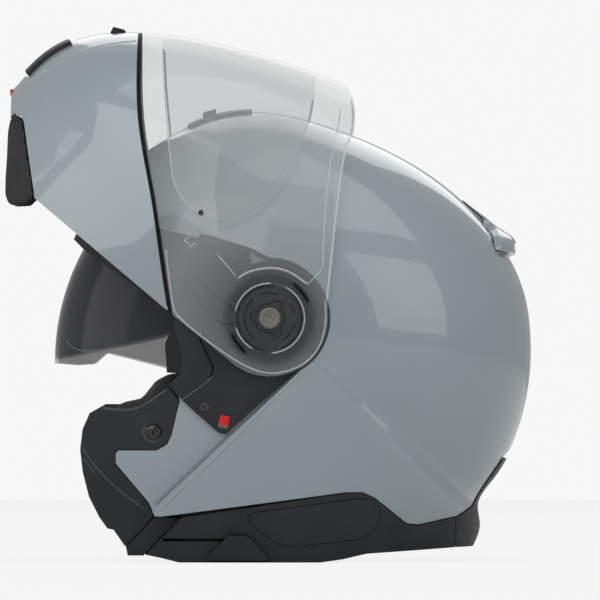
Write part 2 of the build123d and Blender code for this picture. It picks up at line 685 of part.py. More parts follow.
# Sun visor on its own hinge pins: dark lens between two black carriers
carrier_proud = 0.6
carrier_depth = 2.8
sun_pin_end = flat_x(sun_visor_half_width, carrier_depth) - 1.2
with BuildPart() as sun_visor:
    add(slab(sun_body, 0, sun_visor_wall, side_block(sun_lens_pixels)))
save(sun_visor, "sun_visor")
with BuildPart() as sun_visor_carrier:
    add(slab(sun_body, -carrier_proud, carrier_depth,
             side_block(sun_carrier_pixels, low=0, disc=(sun_hinge_pixel, sun_hub_radius))))
    add(side_rod(sun_hinge_pixel, sun_pin_radius + running_fit, 0, side_reach),
        mode=Mode.SUBTRACT)
save_pair(sun_visor_carrier, "sun_visor_carrier")
with BuildPart() as sun_visor_pins:
    add(side_rod(sun_hinge_pixel, sun_pin_radius, sun_pin_end, hinge_nut_face - seam))
save_group(sun_visor_pins, "sun_visor_pins")

# Painted chin bar shell, with the seats of its vent plate and release button
vent_plate_pixels = [(27, 74), (36, 85), (78, 55), (70, 40), (50, 34), (18, 60)]
vent_plate_half_width = 24.0
vent_plate_proud = 2.6
vent_plate_depth = 0.9
vent_seat_gap = 0.7
vent_seat_pixels = [(25.6, 75.5), (35.4, 87.2), (83.5, 52), (75, 35), (50, 30), (16, 62)]
button_pixels = [(10.6, 89.6), (17.5, 89.6), (17.5, 95.6), (10.6, 95.6)]
button_notch_pixels = [(0, 89.1), (22.5, 89.1), (22.5, 96.1), (0, 96.1)]
button_half_width = 13.0
with BuildPart() as chin_shell:
    add(slab(chin_body, 0, chin_wall,
             side_block(["curve", *chin_edge_pixels], chin_low_pixels, [(-20, 119.5), (-20, -40)])))
    add(less(side_block(vent_seat_pixels, low=-vent_plate_half_width - seam,
                        high=vent_plate_half_width + seam),
             chin_body(vent_plate_depth + vent_seat_gap)), mode=Mode.SUBTRACT)
    add(side_block(button_notch_pixels, low=-button_half_width - seam,
                   high=button_half_width + seam), mode=Mode.SUBTRACT)
save(chin_shell, "chin_shell")
with BuildPart() as chin_vent_plate:
    add(slab(chin_body, -vent_plate_proud, vent_plate_depth,
             side_block(vent_plate_pixels, low=-vent_plate_half_width,
                        high=vent_plate_half_width)))
save(chin_vent_plate, "chin_vent_plate")
with BuildPart() as chin_release_button:
    add(side_block(button_pixels, low=-button_half_width, high=button_half_width))
save(chin_release_button, "chin_release_button")

# Small lip on the chin bar below the visor
lip_pixels = [(110.5, 32.6), (113.5, 27), (124.5, 29.8), (126, 31.9)]
lip_half_width = 9.0
with BuildPart() as air_lip:
    add(side_block(lip_pixels, low=-lip_half_width, high=lip_half_width))
save(air_lip, "air_lip")

# Chin bar frame: two arms with hinge discs, joined across the front
with BuildPart() as chin_frame:
    add(slab(chin_body, frame_inset, frame_inset + arm_wall,
             side_block(frame_outline_pixels, disc=(hinge_pixel, hub_disc_pixels * pixel))))
    add(hinge_bore, mode=Mode.SUBTRACT)
save(chin_frame, "chin_frame")

# Latch jaws, whose open notches close over the lock pins
jaw_wall = 1.6
jaw_half_height = 5.0
jaw_back = 5.0
jaw_front = 3.0
jaw_gap = 0.4
jaw_centre = at(*raised(*pin_pixel))
jaw_lean = Plane(origin=(0, jaw_centre[0], jaw_centre[1]), z_dir=(1, 0, 0),
                 x_dir=(0, jaw_centre[1] - hinge_height, -jaw_centre[0]))
with BuildPart() as latch_jaw:
    with BuildSketch(jaw_lean):
        with Locations(((jaw_back - jaw_front) / 2, 0)):
            Rectangle(jaw_back + jaw_front, 2 * jaw_half_height)
        Circle(lock_pin_radius + jaw_gap, mode=Mode.SUBTRACT)
        with Locations((-jaw_front, 0)):
            Rectangle(2 * jaw_front, 2 * (lock_pin_radius + jaw_gap), mode=Mode.SUBTRACT)
    extrude(amount=side_reach)
    add(chin_body(frame_inset + arm_wall), mode=Mode.INTERSECT)
    add(chin_body(frame_inset + arm_wall + jaw_wall), mode=Mode.SUBTRACT)
save_pair(latch_jaw, "latch_jaw")

# Rubber seal between the painted chin bar and the visor
seal_gap_pixels = 0.5
with BuildPart() as visor_seal:
    add(slab(chin_body, seam, chin_wall,
             side_block(["curve", *[(u + seal_gap_pixels, v) for u, v in chin_edge_pixels]],
                        ["curve", *[(u - seal_gap_pixels, v)
                                    for u, v in reversed(visor_edge_pixels)]])))
save(visor_seal, "visor_seal")

# Foam and padding behind the chin
padding_depth = 22.0
with BuildPart() as chin_padding:
    add(slab(chin_body, frame_inset + arm_wall + seam, padding_depth,
             side_block(chin_padding_pixels)))
save(chin_padding, "chin_padding")

# Wind deflector: a rubber sheet below the chin, with an arch for the neck
deflector_wall = 2.5
arch_half_width = 56.0
arch_rise = 40.0
deflector_hollow_pixels = [(u + deflector_wall / pixel, v) for u, v in deflector_outline_pixels]
with BuildPart() as deflector_hollow:
    add(side_block(deflector_hollow_pixels))
    add(round_chin_body(seam + deflector_wall), mode=Mode.INTERSECT)
with BuildPart() as wind_deflector:
    add(side_block(deflector_outline_pixels))
    add(round_chin_body(seam), mode=Mode.INTERSECT)
    add(deflector_hollow.part, mode=Mode.SUBTRACT)
    with BuildSketch(Plane.XZ.offset(-at(0, 0)[0])):
        with Locations((0, at(0, 216)[1])):
            Ellipse(arch_half_width, arch_rise)
    extrude(amount=-overrun, mode=Mode.SUBTRACT)
save(wind_deflector, "wind_deflector")

# Hinge cams between the arms and the visor
cam_radius = 12.5
cam_lobe_radius = 4.2
cam_lobes = 3
cam_face = flat_x(chin_half_width, visor_wall) - 0.4
with BuildPart() as hinge_cam:
    with BuildSketch(Plane.YZ.offset(flat_x(chin_half_width, frame_inset))):
        with Locations(at(*hinge_pixel)):
            Circle(cam_radius)
            with PolarLocations(cam_radius, cam_lobes):
                Circle(cam_lobe_radius)
    extrude(amount=cam_face - flat_x(chin_half_width, frame_inset))
    add(hinge_bore, mode=Mode.SUBTRACT)
save_pair(hinge_cam, "hinge_cam")

# Clear visor, with a raised ring round each hinge
ring_radius = 21.4
ring_half_width = 0.9
ring_height = 0.9
visor_disc_pixels = 57.5
insert_pin_pixel = (202.0, 213.6)
insert_pin_radius = 1.6
visor_face = flat_x(chin_half_width, 0)
with BuildPart() as visor:
    add(slab(chin_body, 0, visor_wall,
             side_block(["curve", *visor_edge_pixels], [(234, 362.8)], visor_rear_pixels,
                        disc=(hinge_pixel, visor_disc_pixels * pixel))))
    add(hinge_bore, mode=Mode.SUBTRACT)
    add(side_rod(insert_pin_pixel, insert_pin_radius, -side_reach, side_reach),
        mode=Mode.SUBTRACT)
    for side in (1, -1):
        with BuildSketch(Plane.YZ.offset(side * visor_face)):
            with Locations(at(*hinge_pixel)):
                Circle(ring_radius + ring_half_width)
                Circle(ring_radius - ring_half_width, mode=Mode.SUBTRACT)
        extrude(amount=side * ring_height)
save(visor, "visor")

# Anti-fog insert inside the visor and its two pins
insert_wall = 0.9
insert_gap = 0.3
insert_pin_proud = 0.5
with BuildPart() as anti_fog_insert:
    add(slab(chin_body, visor_wall + insert_gap, visor_wall + insert_gap + insert_wall,
             side_block([(163, -40)], insert_outline_pixels, [(318, -40)])))
    add(side_rod(insert_pin_pixel, insert_pin_radius, -side_reach, side_reach),
        mode=Mode.SUBTRACT)
save(anti_fog_insert, "anti_fog_insert")
with BuildPart() as insert_pins:
    add(slab(chin_body, -insert_pin_proud, visor_wall + 2 * insert_gap + insert_wall,
             side_rod(insert_pin_pixel, insert_pin_radius, 0, side_reach)))
save_group(insert_pins, "insert_pins")
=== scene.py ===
"""Looks for a modular motorcycle helmet: chin bar raised, visor shut, sun visor lowered."""
import json
import logging
import math
from dataclasses import dataclass, field
from enum import Enum
from typing import Callable, Iterable, Sequence

import bmesh
import bpy
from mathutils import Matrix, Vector
from mathutils.bvhtree import BVHTree

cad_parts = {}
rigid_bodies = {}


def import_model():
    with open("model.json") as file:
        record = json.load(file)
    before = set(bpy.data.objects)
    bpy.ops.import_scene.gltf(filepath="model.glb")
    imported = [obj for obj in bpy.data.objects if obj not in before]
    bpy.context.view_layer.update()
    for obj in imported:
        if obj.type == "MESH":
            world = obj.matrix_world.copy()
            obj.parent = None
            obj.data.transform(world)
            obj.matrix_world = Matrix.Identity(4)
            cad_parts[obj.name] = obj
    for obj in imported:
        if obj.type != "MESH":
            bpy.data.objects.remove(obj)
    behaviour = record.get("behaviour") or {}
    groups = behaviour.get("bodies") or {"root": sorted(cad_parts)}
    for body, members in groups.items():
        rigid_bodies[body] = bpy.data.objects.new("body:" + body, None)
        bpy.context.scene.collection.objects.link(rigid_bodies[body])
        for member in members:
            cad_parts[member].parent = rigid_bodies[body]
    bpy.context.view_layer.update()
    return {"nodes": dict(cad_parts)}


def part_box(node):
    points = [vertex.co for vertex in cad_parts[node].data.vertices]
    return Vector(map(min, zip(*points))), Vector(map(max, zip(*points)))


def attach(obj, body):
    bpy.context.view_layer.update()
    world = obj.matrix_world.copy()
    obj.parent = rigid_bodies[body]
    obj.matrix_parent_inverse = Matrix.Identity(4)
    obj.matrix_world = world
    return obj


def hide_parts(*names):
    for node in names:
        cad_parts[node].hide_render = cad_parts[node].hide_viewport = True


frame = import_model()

Pixel = tuple[float, float]
Pixels = tuple[Pixel, ...]
Profile = tuple[tuple[float, float], ...]
Colour = tuple[float, float, float]

LOG = logging.getLogger("helmet")
MM = 0.001
# The side view: a pixel's size, the side hinge's pixel and the ground's row
PIXEL = 0.62 * MM
HINGE_PIXEL = (270.0, 318.0)
GROUND_PIXEL = 560.0
# How far out a ray towards the side starts
CAST_FROM = 0.3
# The span in which most of a noise's values lie
NOISE_LOW, NOISE_HIGH = 0.3, 0.7
PLASTIC_IOR = 1.5
# Each side's name with its sign along X
SIDES = {"left": 1.0, "right": -1.0}


def side_place(x: float, u: float, v: float) -> Vector:
    """Return the point at a distance across the helmet and a pixel of the side view."""
    return Vector((x, (u - HINGE_PIXEL[0]) * PIXEL, (GROUND_PIXEL - v) * PIXEL))


class Grain(Enum):
    """The surface texture that a finish carries."""

    SMOOTH = "smooth"
    SPARK = "spark"
    KNIT = "knit"
    WEBBING = "webbing"
    BEAD = "bead"


class NodeBench:
    """Small helper that lays out shader nodes for one material."""

    def __init__(self, name: str) -> None:
        """Start a material with only a shader and its output.

        Args:
            name: the material's name.
        """
        self.material = bpy.data.materials.new(name)
        self.material.use_nodes = True
        self.tree = self.material.node_tree
        self.tree.nodes.clear()
        self.output = self.node("OutputMaterial")
        self.shader = self.node("BsdfPrincipled")
        self.link(self.shader.outputs[0], self.output.inputs["Surface"])
        self.coordinates = self.node("TexCoord")

    def node(self, kind: str) -> bpy.types.ShaderNode:
        """Add a node by its type's name, without ShaderNode."""
        return self.tree.nodes.new("ShaderNode" + kind)

    def link(self, source: bpy.types.NodeSocket, target: bpy.types.NodeSocket) -> None:
        """Link two sockets."""
        self.tree.links.new(source, target)

    def put(self, socket: str, value: float | Sequence[float]) -> None:
        """Set a value on the shader's own socket."""
        self.shader.inputs[socket].default_value = value

    def join(self, source: bpy.types.NodeSocket, socket: str) -> None:
        """Link a socket to one of the shader's sockets."""
        self.link(source, self.shader.inputs[socket])

    def _pattern(self, kind: str, **values: float) -> bpy.types.ShaderNode:
        """Add a texture in object space.

        Args:
            kind: the texture's name.
            values: its inputs by name.

        Returns:
            The texture's node.
        """
        node = self.node("Tex" + kind)
        for socket, value in values.items():
            node.inputs[socket].default_value = value
        self.link(self.coordinates.outputs["Object"], node.inputs["Vector"])
        return node

    def noise(self, scale: float, detail: float = 3.0, rough: float = 0.55) -> bpy.types.NodeSocket:
        """Add a noise with so many features a metre and return its value socket."""
        return self._pattern("Noise", Scale=scale, Detail=detail, Roughness=rough).outputs[0]

    def cells(self, scale: float) -> bpy.types.NodeSocket:
        """Add a cell pattern and return its distance socket."""
        return self._pattern("Voronoi", Scale=scale).outputs["Distance"]

    def wave(self, scale: float, direction: str, distortion: float) -> bpy.types.NodeSocket:
        """Add parallel bands.

        Args:
            scale: bands per metre, about.
            direction: X, Y, Z or DIAGONAL.
            distortion: how far the bands wander.

        Returns:
            The bands' value socket.
        """
        node = self._pattern("Wave", Scale=scale, Distortion=distortion)
        node.bands_direction = direction
        return node.outputs["Fac"]

    def blend(self, kind: str, first: bpy.types.NodeSocket,
              second: bpy.types.NodeSocket | float) -> bpy.types.NodeSocket:
        """Join two values with a math operation and return the result's socket."""
        node = self.node("Math")
        node.operation = kind
        self.link(first, node.inputs[0])
        if isinstance(second, (int, float)):
            node.inputs[1].default_value = second
        else:
            self.link(second, node.inputs[1])
        return node.outputs[0]

    def ramp(self, source: bpy.types.NodeSocket,
             stops: Sequence[tuple[float, Sequence[float]]]) -> bpy.types.NodeSocket:
        """Map a value to colours.

        Args:
            source: the value.
            stops: places from 0 to 1 with their colours.

        Returns:
            The colour socket.
        """
        node = self.node("ValToRGB")
        elements = node.color_ramp.elements
        while len(elements) < len(stops):
            elements.new(1.0)
        for element, (place, colour) in zip(elements, stops):
            element.position = place
            element.color = (*colour[:3], 1.0)
        self.link(source, node.inputs[0])
        return node.outputs[0]

    def mottle(self, scale: float, detail: float, dark: Sequence[float],
               light: Sequence[float], far: float = NOISE_HIGH) -> None:
        """Colour the shader in soft patches.

        Args:
            scale: patches per metre, about.
            detail: octaves of the patches.
            dark: the darker colour.
            light: the lighter colour.
            far: where in the noise the lighter colour is reached.
        """
        self.join(self.ramp(self.noise(scale, detail), [(NOISE_LOW, dark), (far, light)]),
                  "Base Color")

    def spread(self, source: bpy.types.NodeSocket, span: tuple[float, float],
               to: tuple[float, float]) -> bpy.types.NodeSocket:
        """Map a value from one span to another and return the socket."""
        node = self.node("MapRange")
        for place, number in enumerate((*span, *to), 1):
            node.inputs[place].default_value = number
        self.link(source, node.inputs[0])
        return node.outputs[0]

    def roughen(self, scale: float, detail: float, low: float, high: float) -> None:
        """Let the roughness wander between two values."""
        self.join(self.spread(self.noise(scale, detail), (NOISE_LOW, NOISE_HIGH), (low, high)),
                  "Roughness")

    def _split(self) -> bpy.types.ShaderNode:
        """Return a node that splits the object's coordinates."""
        node = self.node("SeparateXYZ")
        self.link(self.coordinates.outputs["Object"], node.inputs[0])
        return node

    def height(self, tilt: float) -> bpy.types.NodeSocket:
        """Return Z plus a share of Y in metres, as a socket."""
        node = self._split()
        return self.blend("ADD", self.blend("MULTIPLY", node.outputs["Y"], tilt),
                          node.outputs["Z"])

    def from_hinge(self) -> bpy.types.NodeSocket:
        """Return the distance from the side hinge's axis in metres, as a socket."""
        parts = self._split()
        flat = self.node("CombineXYZ")
        for axis in "YZ":
            self.link(parts.outputs[axis], flat.inputs[axis])
        gap = self.node("VectorMath")
        gap.operation = "DISTANCE"
        gap.inputs[1].default_value = side_place(0.0, *HINGE_PIXEL)
        self.link(flat.outputs[0], gap.inputs[0])
        return gap.outputs["Value"]

    def bump(self, source: bpy.types.NodeSocket, depth: float, strength: float) -> None:
        """Roughen the surface by a height pattern.

        Args:
            source: the height, from 0 to 1.
            depth: its depth in metres.
            strength: share of the effect.
        """
        node = self.node("Bump")
        node.inputs["Distance"].default_value = depth
        node.inputs["Strength"].default_value = strength
        self.link(source, node.inputs["Height"])
        self.join(node.outputs[0], "Normal")


def shaded(colour: Sequence[float], share: float) -> list[float]:
    """Return a colour made darker or lighter by a share."""
    return [part * share for part in colour]


@dataclass(frozen=True)
class Lacquer:
    """Gloss paint with a clear coat over a moulded shell."""

    name: str = "shell_lacquer"
    light: Colour = (0.250, 0.297, 0.320)
    deep: Colour = (0.225, 0.270, 0.293)
    roughness: float = 0.34
    wander: float = 0.06
    coat_roughness: float = 0.035
    peel_depth: float = 0.04 * MM

    def build(self) -> bpy.types.Material:
        """Return the finished material."""
        bench = NodeBench(self.name)
        bench.mottle(scale=9.0, detail=2.0, dark=self.deep, light=self.light)
        bench.roughen(scale=2600.0, detail=1.0, low=self.roughness - self.wander,
                      high=self.roughness + self.wander)
        bench.put("Coat Weight", 1.0)
        bench.put("Coat Roughness", self.coat_roughness)
        bench.put("Coat IOR", PLASTIC_IOR)
        bench.bump(bench.noise(scale=160.0, detail=1.0), self.peel_depth, strength=0.25)
        return bench.material


@dataclass(frozen=True)
class Moulded:
    """Moulded plastic or rubber with a fine spark grain."""

    name: str
    colour: Colour
    roughness: float
    grain: Grain = Grain.SPARK
    grain_depth: float = 0.06 * MM
    wander: float = 0.07
    variation: float = 0.25
    specular: float = 0.3

    def build(self) -> bpy.types.Material:
        """Return the finished material."""
        bench = NodeBench(self.name)
        bench.mottle(scale=35.0, detail=3.0, dark=shaded(self.colour, 1.0 - self.variation),
                     light=shaded(self.colour, 1.0 + self.variation))
        bench.roughen(scale=420.0, detail=2.0, low=self.roughness - self.wander,
                      high=self.roughness + self.wander)
        bench.put("Specular IOR Level", self.specular)
        if self.grain is Grain.SPARK:
            bench.bump(bench.noise(scale=1500.0, detail=2.0, rough=0.7), self.grain_depth,
                       strength=0.6)
        elif self.grain is Grain.BEAD:
            bench.bump(bench.cells(scale=260.0), self.grain_depth, strength=0.8)
        return bench.material


@dataclass(frozen=True)
class Metal:
    """Turned or plated metal with fine tool marks."""

    name: str
    colour: Colour
    roughness: float
    mark_depth: float = 0.01 * MM

    def build(self) -> bpy.types.Material:
        """Return the finished material."""
        bench = NodeBench(self.name)
        bench.mottle(scale=120.0, detail=4.0, dark=shaded(self.colour, 0.86),
                     light=self.colour)
        bench.put("Metallic", 1.0)
        bench.roughen(scale=900.0, detail=2.0, low=self.roughness * 0.75,
                      high=self.roughness * 1.3)
        bench.bump(bench.wave(1800.0, "Z", distortion=1.5), self.mark_depth, strength=0.4)
        return bench.material


@dataclass(frozen=True)
class ClearSheet:
    """Clear or smoked polycarbonate.

    It is see-through by its height, or by its distance from the side hinge where that is
    given as a profile of metres and alphas.
    """

    name: str
    tint: Colour
    alphas: tuple[float, float] = (1.0, 1.0)
    heights: tuple[float, float] = (0.0, 1.0)
    tilt: float = 0.0
    profile: Profile = ()
    reach: float = 0.2
    roughness: float = 0.02
    specular: float = 0.5

    def build(self) -> bpy.types.Material:
        """Return the finished material."""
        bench = NodeBench(self.name)
        bench.mottle(scale=14.0, detail=2.0, dark=shaded(self.tint, 0.96), light=self.tint)
        bench.roughen(scale=60.0, detail=3.0, low=self.roughness, high=self.roughness * 2.5)
        bench.put("IOR", PLASTIC_IOR)
        bench.put("Specular IOR Level", self.specular)
        if self.profile:
            share = bench.blend("DIVIDE", bench.from_hinge(), self.reach)
            bench.join(bench.ramp(share, [(gap / self.reach, (alpha,) * 3)
                                          for gap, alpha in self.profile]), "Alpha")
        else:
            bench.join(bench.spread(bench.height(self.tilt), self.heights, self.alphas),
                       "Alpha")
        return bench.material


@dataclass(frozen=True)
class Fabric:
    """Knitted lining or woven webbing."""

    name: str
    colour: Colour
    thread: float
    grain: Grain = Grain.KNIT
    depth: float = 0.35 * MM
    sheen: float = 0.14

    def build(self) -> bpy.types.Material:
        """Return the finished material."""
        bench = NodeBench(self.name)
        bench.mottle(scale=40.0, detail=3.0, dark=shaded(self.colour, 0.7),
                     light=shaded(self.colour, 1.35), far=0.72)
        bench.put("Roughness", 0.9)
        bench.put("Sheen Weight", self.sheen)
        bench.put("Sheen Roughness", 0.45)
        rows = bench.wave(self.thread, "Z", distortion=0.6)
        if self.grain is Grain.WEBBING:
            columns = bench.wave(self.thread * 0.6, "DIAGONAL", distortion=0.4)
        else:
            columns = bench.wave(self.thread, "Y", distortion=0.6)
        bench.bump(bench.blend("MULTIPLY", rows, columns), self.depth, strength=0.7)
        return bench.material


FINISHES = {
    "lacquer": Lacquer(),
    "plastic": Moulded("grained_black_plastic", (0.016, 0.018, 0.021), 0.46),
    "satin": Moulded("satin_black_plastic", (0.016, 0.017, 0.020), 0.38, Grain.SMOOTH),
    "rubber": Moulded("edge_rubber", (0.016, 0.016, 0.018), 0.62),
    "red": Moulded("red_button_plastic", (0.52, 0.018, 0.016), 0.32, Grain.SMOOTH),
    "foam": Moulded("bead_foam", (0.028, 0.028, 0.031), 0.85, Grain.BEAD, 0.3 * MM),
    "steel": Metal("plated_steel", (0.55, 0.55, 0.56), 0.32),
    "aluminium": Metal("satin_aluminium", (0.66, 0.67, 0.69), 0.27),
    "clear": ClearSheet("clear_visor_sheet", (0.50, 0.53, 0.55), specular=1.0, profile=(
        (0.019, 0.02), (0.026, 0.035), (0.031, 0.11), (0.064, 0.25), (0.085, 0.19),
        (0.135, 0.13))),
    "insert": ClearSheet("clear_insert_sheet", (0.66, 0.70, 0.72), (0.09, 0.09), specular=0.8),
    "smoke": ClearSheet("smoked_sun_visor", (0.044, 0.046, 0.052), (0.36, 0.86),
                        (0.1510, 0.1552), tilt=-0.21, roughness=0.07, specular=0.14),
    # Paler and less clear than the visor sheet: painted highlight on the visor's ribs and cut edges
    "rib": ClearSheet("clear_edge_painted_highlight", (0.62, 0.65, 0.67), (0.42, 0.42), roughness=0.06),
    "smoke_edge": ClearSheet("smoked_edge", (0.10, 0.11, 0.12), (0.9, 0.9), roughness=0.1),
    # Darker lacquer: painted shade in the swage groove
    "shade": Lacquer("shell_lacquer_painted_groove_shade", (0.190, 0.228, 0.248), (0.170, 0.206, 0.226)),
    # Lighter, glossier black than the plastic: painted highlight on the cover creases and the pin
    # dish
    "edge": Moulded("black_plastic_painted_highlight", (0.034, 0.036, 0.040), 0.36, grain_depth=0.02 * MM,
                    specular=0.5),
    "gloss": Moulded("gloss_black_plastic", (0.008, 0.008, 0.009), 0.16, Grain.SMOOTH,
                     specular=0.6),
    # Near-black, darker than the plastics: the visor seal's black, and painted shade in engraved
    # lines, slots, holes and the gaps between covers
    "line": Moulded("black_seal_and_painted_groove_shade", (0.006, 0.006, 0.007), 0.6, specular=0.1),
    "bolt": Metal("turned_bolt_face", (0.20, 0.195, 0.175), 0.55),
    "darksteel": Metal("blackened_steel", (0.09, 0.09, 0.095), 0.4),
    "thread": Fabric("sewing_thread", (0.060, 0.060, 0.064), 900.0),
    "lining": Fabric("brushed_knit_lining", (0.019, 0.020, 0.022), 330.0),
    "webbing": Fabric("strap_webbing", (0.020, 0.020, 0.022), 420.0, Grain.WEBBING),
}


class Palette:
    """Every finish of the helmet, made once."""

    def __init__(self) -> None:
        """Build the materials."""
        self.materials = {key: finish.build() for key, finish in FINISHES.items()}

    def dress(self, obj: bpy.types.Object, key: str) -> None:
        """Give an object one finish in all its slots."""
        material = self.materials[key]
        if not obj.material_slots:
            obj.data.materials.append(material)
        for slot in obj.material_slots:
            slot.material = material


def deselect() -> None:
    """Leave nothing selected."""
    for obj in bpy.context.view_layer.objects:
        obj.select_set(False)


def activate(obj: bpy.types.Object) -> None:
    """Select one object alone and make it active."""
    deselect()
    obj.select_set(True)
    bpy.context.view_layer.objects.active = obj


def edit(obj: bpy.types.Object, *steps: Callable[[], object]) -> None:
    """Run steps in edit mode on everything in an object.

    Args:
        obj: the object.
        steps: the operators to run, in order.
    """
    activate(obj)
    bpy.ops.object.mode_set(mode="EDIT")
    bpy.ops.mesh.select_all(action="SELECT")
    for step in steps:
        step()
    bpy.ops.object.mode_set(mode="OBJECT")


def smooth(obj: bpy.types.Object, angle: float = 35.0) -> None:
    """Shade an object smooth up to an edge angle in degrees."""
    activate(obj)
    bpy.ops.object.shade_smooth_by_angle(angle=math.radians(angle))


def settle(obj: bpy.types.Object) -> None:
    """Put an object's place into its mesh, and its faces outwards."""
    activate(obj)
    bpy.ops.object.transform_apply(location=True, rotation=True, scale=True)
    edit(obj, lambda: bpy.ops.mesh.remove_doubles(threshold=0.01 * MM),
         lambda: bpy.ops.mesh.normals_make_consistent(inside=False))


def keep(mesh: bmesh.types.BMesh, name: str, angle: float) -> bpy.types.Object:
    """Turn a worked mesh into a piece at the origin, shaded smooth up to an angle."""
    data = bpy.data.meshes.new(name)
    mesh.to_mesh(data)
    mesh.free()
    obj = bpy.data.objects.new(name, data)
    bpy.context.scene.collection.objects.link(obj)
    edit(obj, lambda: bpy.ops.mesh.normals_make_consistent(inside=False))
    smooth(obj, angle)
    return obj


def tube(mesh: bmesh.types.BMesh, rings: list[list[bmesh.types.BMVert]],
         closed: bool = False) -> None:
    """Join rings of corners into a tube, with capped ends unless it is closed."""
    for first, second in zip(rings, rings[1:] + rings[:1] if closed else rings[1:]):
        for k in range(len(first)):
            j = (k + 1) % len(first)
            mesh.faces.new((first[k], first[j], second[j], second[k]))
    if not closed:
        mesh.faces.new(rings[0])
        mesh.faces.new(rings[-1])


def face_sideways(obj: bpy.types.Object, pixel: Pixel, depth: float, side: float,
                  angle: float) -> None:
    """Turn a piece made on the floor to the helmet's side and settle it there.

    Args:
        obj: the piece.
        pixel: its middle in the side view.
        depth: how far from the middle plane its base lies, in metres.
        side: 1 for the wearer's left, -1 for the right.
        angle: the edge angle up to which it is smooth, in degrees.
    """
    obj.rotation_euler = (0.0, side * math.pi / 2, 0.0)
    obj.location = side_place(side * depth, *pixel)
    settle(obj)
    smooth(obj, angle)


def remeshed(node: str, name: str, voxel: float) -> bpy.types.Object:
    """Copy a CAD node's solid and give it even faces of a voxel's size."""
    obj = copy_of(node, name)
    activate(obj)
    remesh = obj.modifiers.new("remesh", "REMESH")
    remesh.mode = "VOXEL"
    remesh.voxel_size = voxel
    bpy.ops.object.modifier_apply(modifier=remesh.name)
    return obj


def copy_of(node: str, name: str) -> bpy.types.Object:
    """Copy a CAD node's solid as a welded mesh.

    Args:
        node: the CAD node.
        name: the copy's name.

    Returns:
        The new object, at the origin.
    """
    source = frame["nodes"][node]
    obj = bpy.data.objects.new(name, source.data.copy())
    bpy.context.scene.collection.objects.link(obj)
    for key in [key for key in obj.keys() if key.startswith("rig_")]:
        del obj[key]
    obj.data.materials.clear()
    edit(obj, lambda: bpy.ops.mesh.remove_doubles(threshold=0.02 * MM),
         lambda: bpy.ops.mesh.customdata_custom_splitnormals_clear())
    return obj


@dataclass
class PadMaker:
    """Makes a padded piece out of a CAD pad by remeshing and inflating it."""

    voxel: float = 4.5 * MM
    shrink: float = 1.0 * MM
    pressure: float = 4.0
    stretch: float = 12.0
    bending: float = 0.6
    cap: float = 3.0 * MM
    frames: int = 16

    def make(self, node: str, name: str) -> bpy.types.Object:
        """Make the pad.

        Args:
            node: the CAD node that it stands for.
            name: the new piece's name.

        Returns:
            The finished piece.
        """
        pad = remeshed(node, name, self.voxel)
        edit(pad, lambda: bpy.ops.transform.shrink_fatten(value=-self.shrink),
             lambda: bpy.ops.mesh.vertices_smooth(factor=0.5, repeat=2))
        self._inflate(pad)
        surface = pad.modifiers.new("surface", "SUBSURF")
        surface.levels = surface.render_levels = 1
        bpy.ops.object.modifier_apply(modifier=surface.name)
        smooth(pad, 60.0)
        return pad

    def _inflate(self, pad: bpy.types.Object) -> None:
        """Let cloth under pressure crown the pad, with every point's move capped."""
        rest = [vertex.co.copy() for vertex in pad.data.vertices]
        cloth = pad.modifiers.new("cloth", "CLOTH")
        cloth.settings.use_pressure = True
        cloth.settings.uniform_pressure_force = self.pressure
        cloth.settings.tension_stiffness = self.stretch
        cloth.settings.compression_stiffness = self.stretch
        cloth.settings.bending_stiffness = self.bending
        cloth.settings.effector_weights.gravity = 0.0
        scene = bpy.context.scene
        for number in range(1, self.frames + 1):
            scene.frame_set(number)
        activate(pad)
        bpy.ops.object.modifier_apply(modifier=cloth.name)
        scene.frame_set(1)
        for vertex, start in zip(pad.data.vertices, rest):
            move = vertex.co - start
            if move.length > self.cap:
                vertex.co = start + move * (self.cap / move.length)


def segment_gap(point: Vector, start: Vector, end: Vector) -> float:
    """Return how far a point lies from a straight segment, in metres."""
    run = end - start
    share = max(0.0, min(1.0, (point - start).dot(run) / max(run.length_squared, 1e-12)))
    return (point - (start + run * share)).length


def side_gap(place: Vector, line: Pixels) -> float:
    """Return how far a point lies from a line of the side view, in metres."""
    flat = Vector((0.0, place.y, place.z))
    corners = [side_place(0.0, u, v) for u, v in line]
    return min(segment_gap(flat, one, two) for one, two in zip(corners, corners[1:]))


@dataclass(frozen=True)
class Seam:
    """A sewn seam: how far a place is from it, and which faces it runs over."""

    gap: Callable[[Vector], float]
    over: Callable[[Vector, Vector], bool]
    width: float = 2.3 * MM
    depth: float = 1.5 * MM

    def press(self, pad: bpy.types.Object) -> None:
        """Pull the seam into a pad as a soft groove."""
        for vertex in pad.data.vertices:
            if self.over(vertex.co, vertex.normal):
                near = self.gap(vertex.co)
                if near < 3.0 * self.width:
                    vertex.co -= vertex.normal * self.depth * math.exp(
                        -(near / self.width) ** 2)
        pad.data.update()


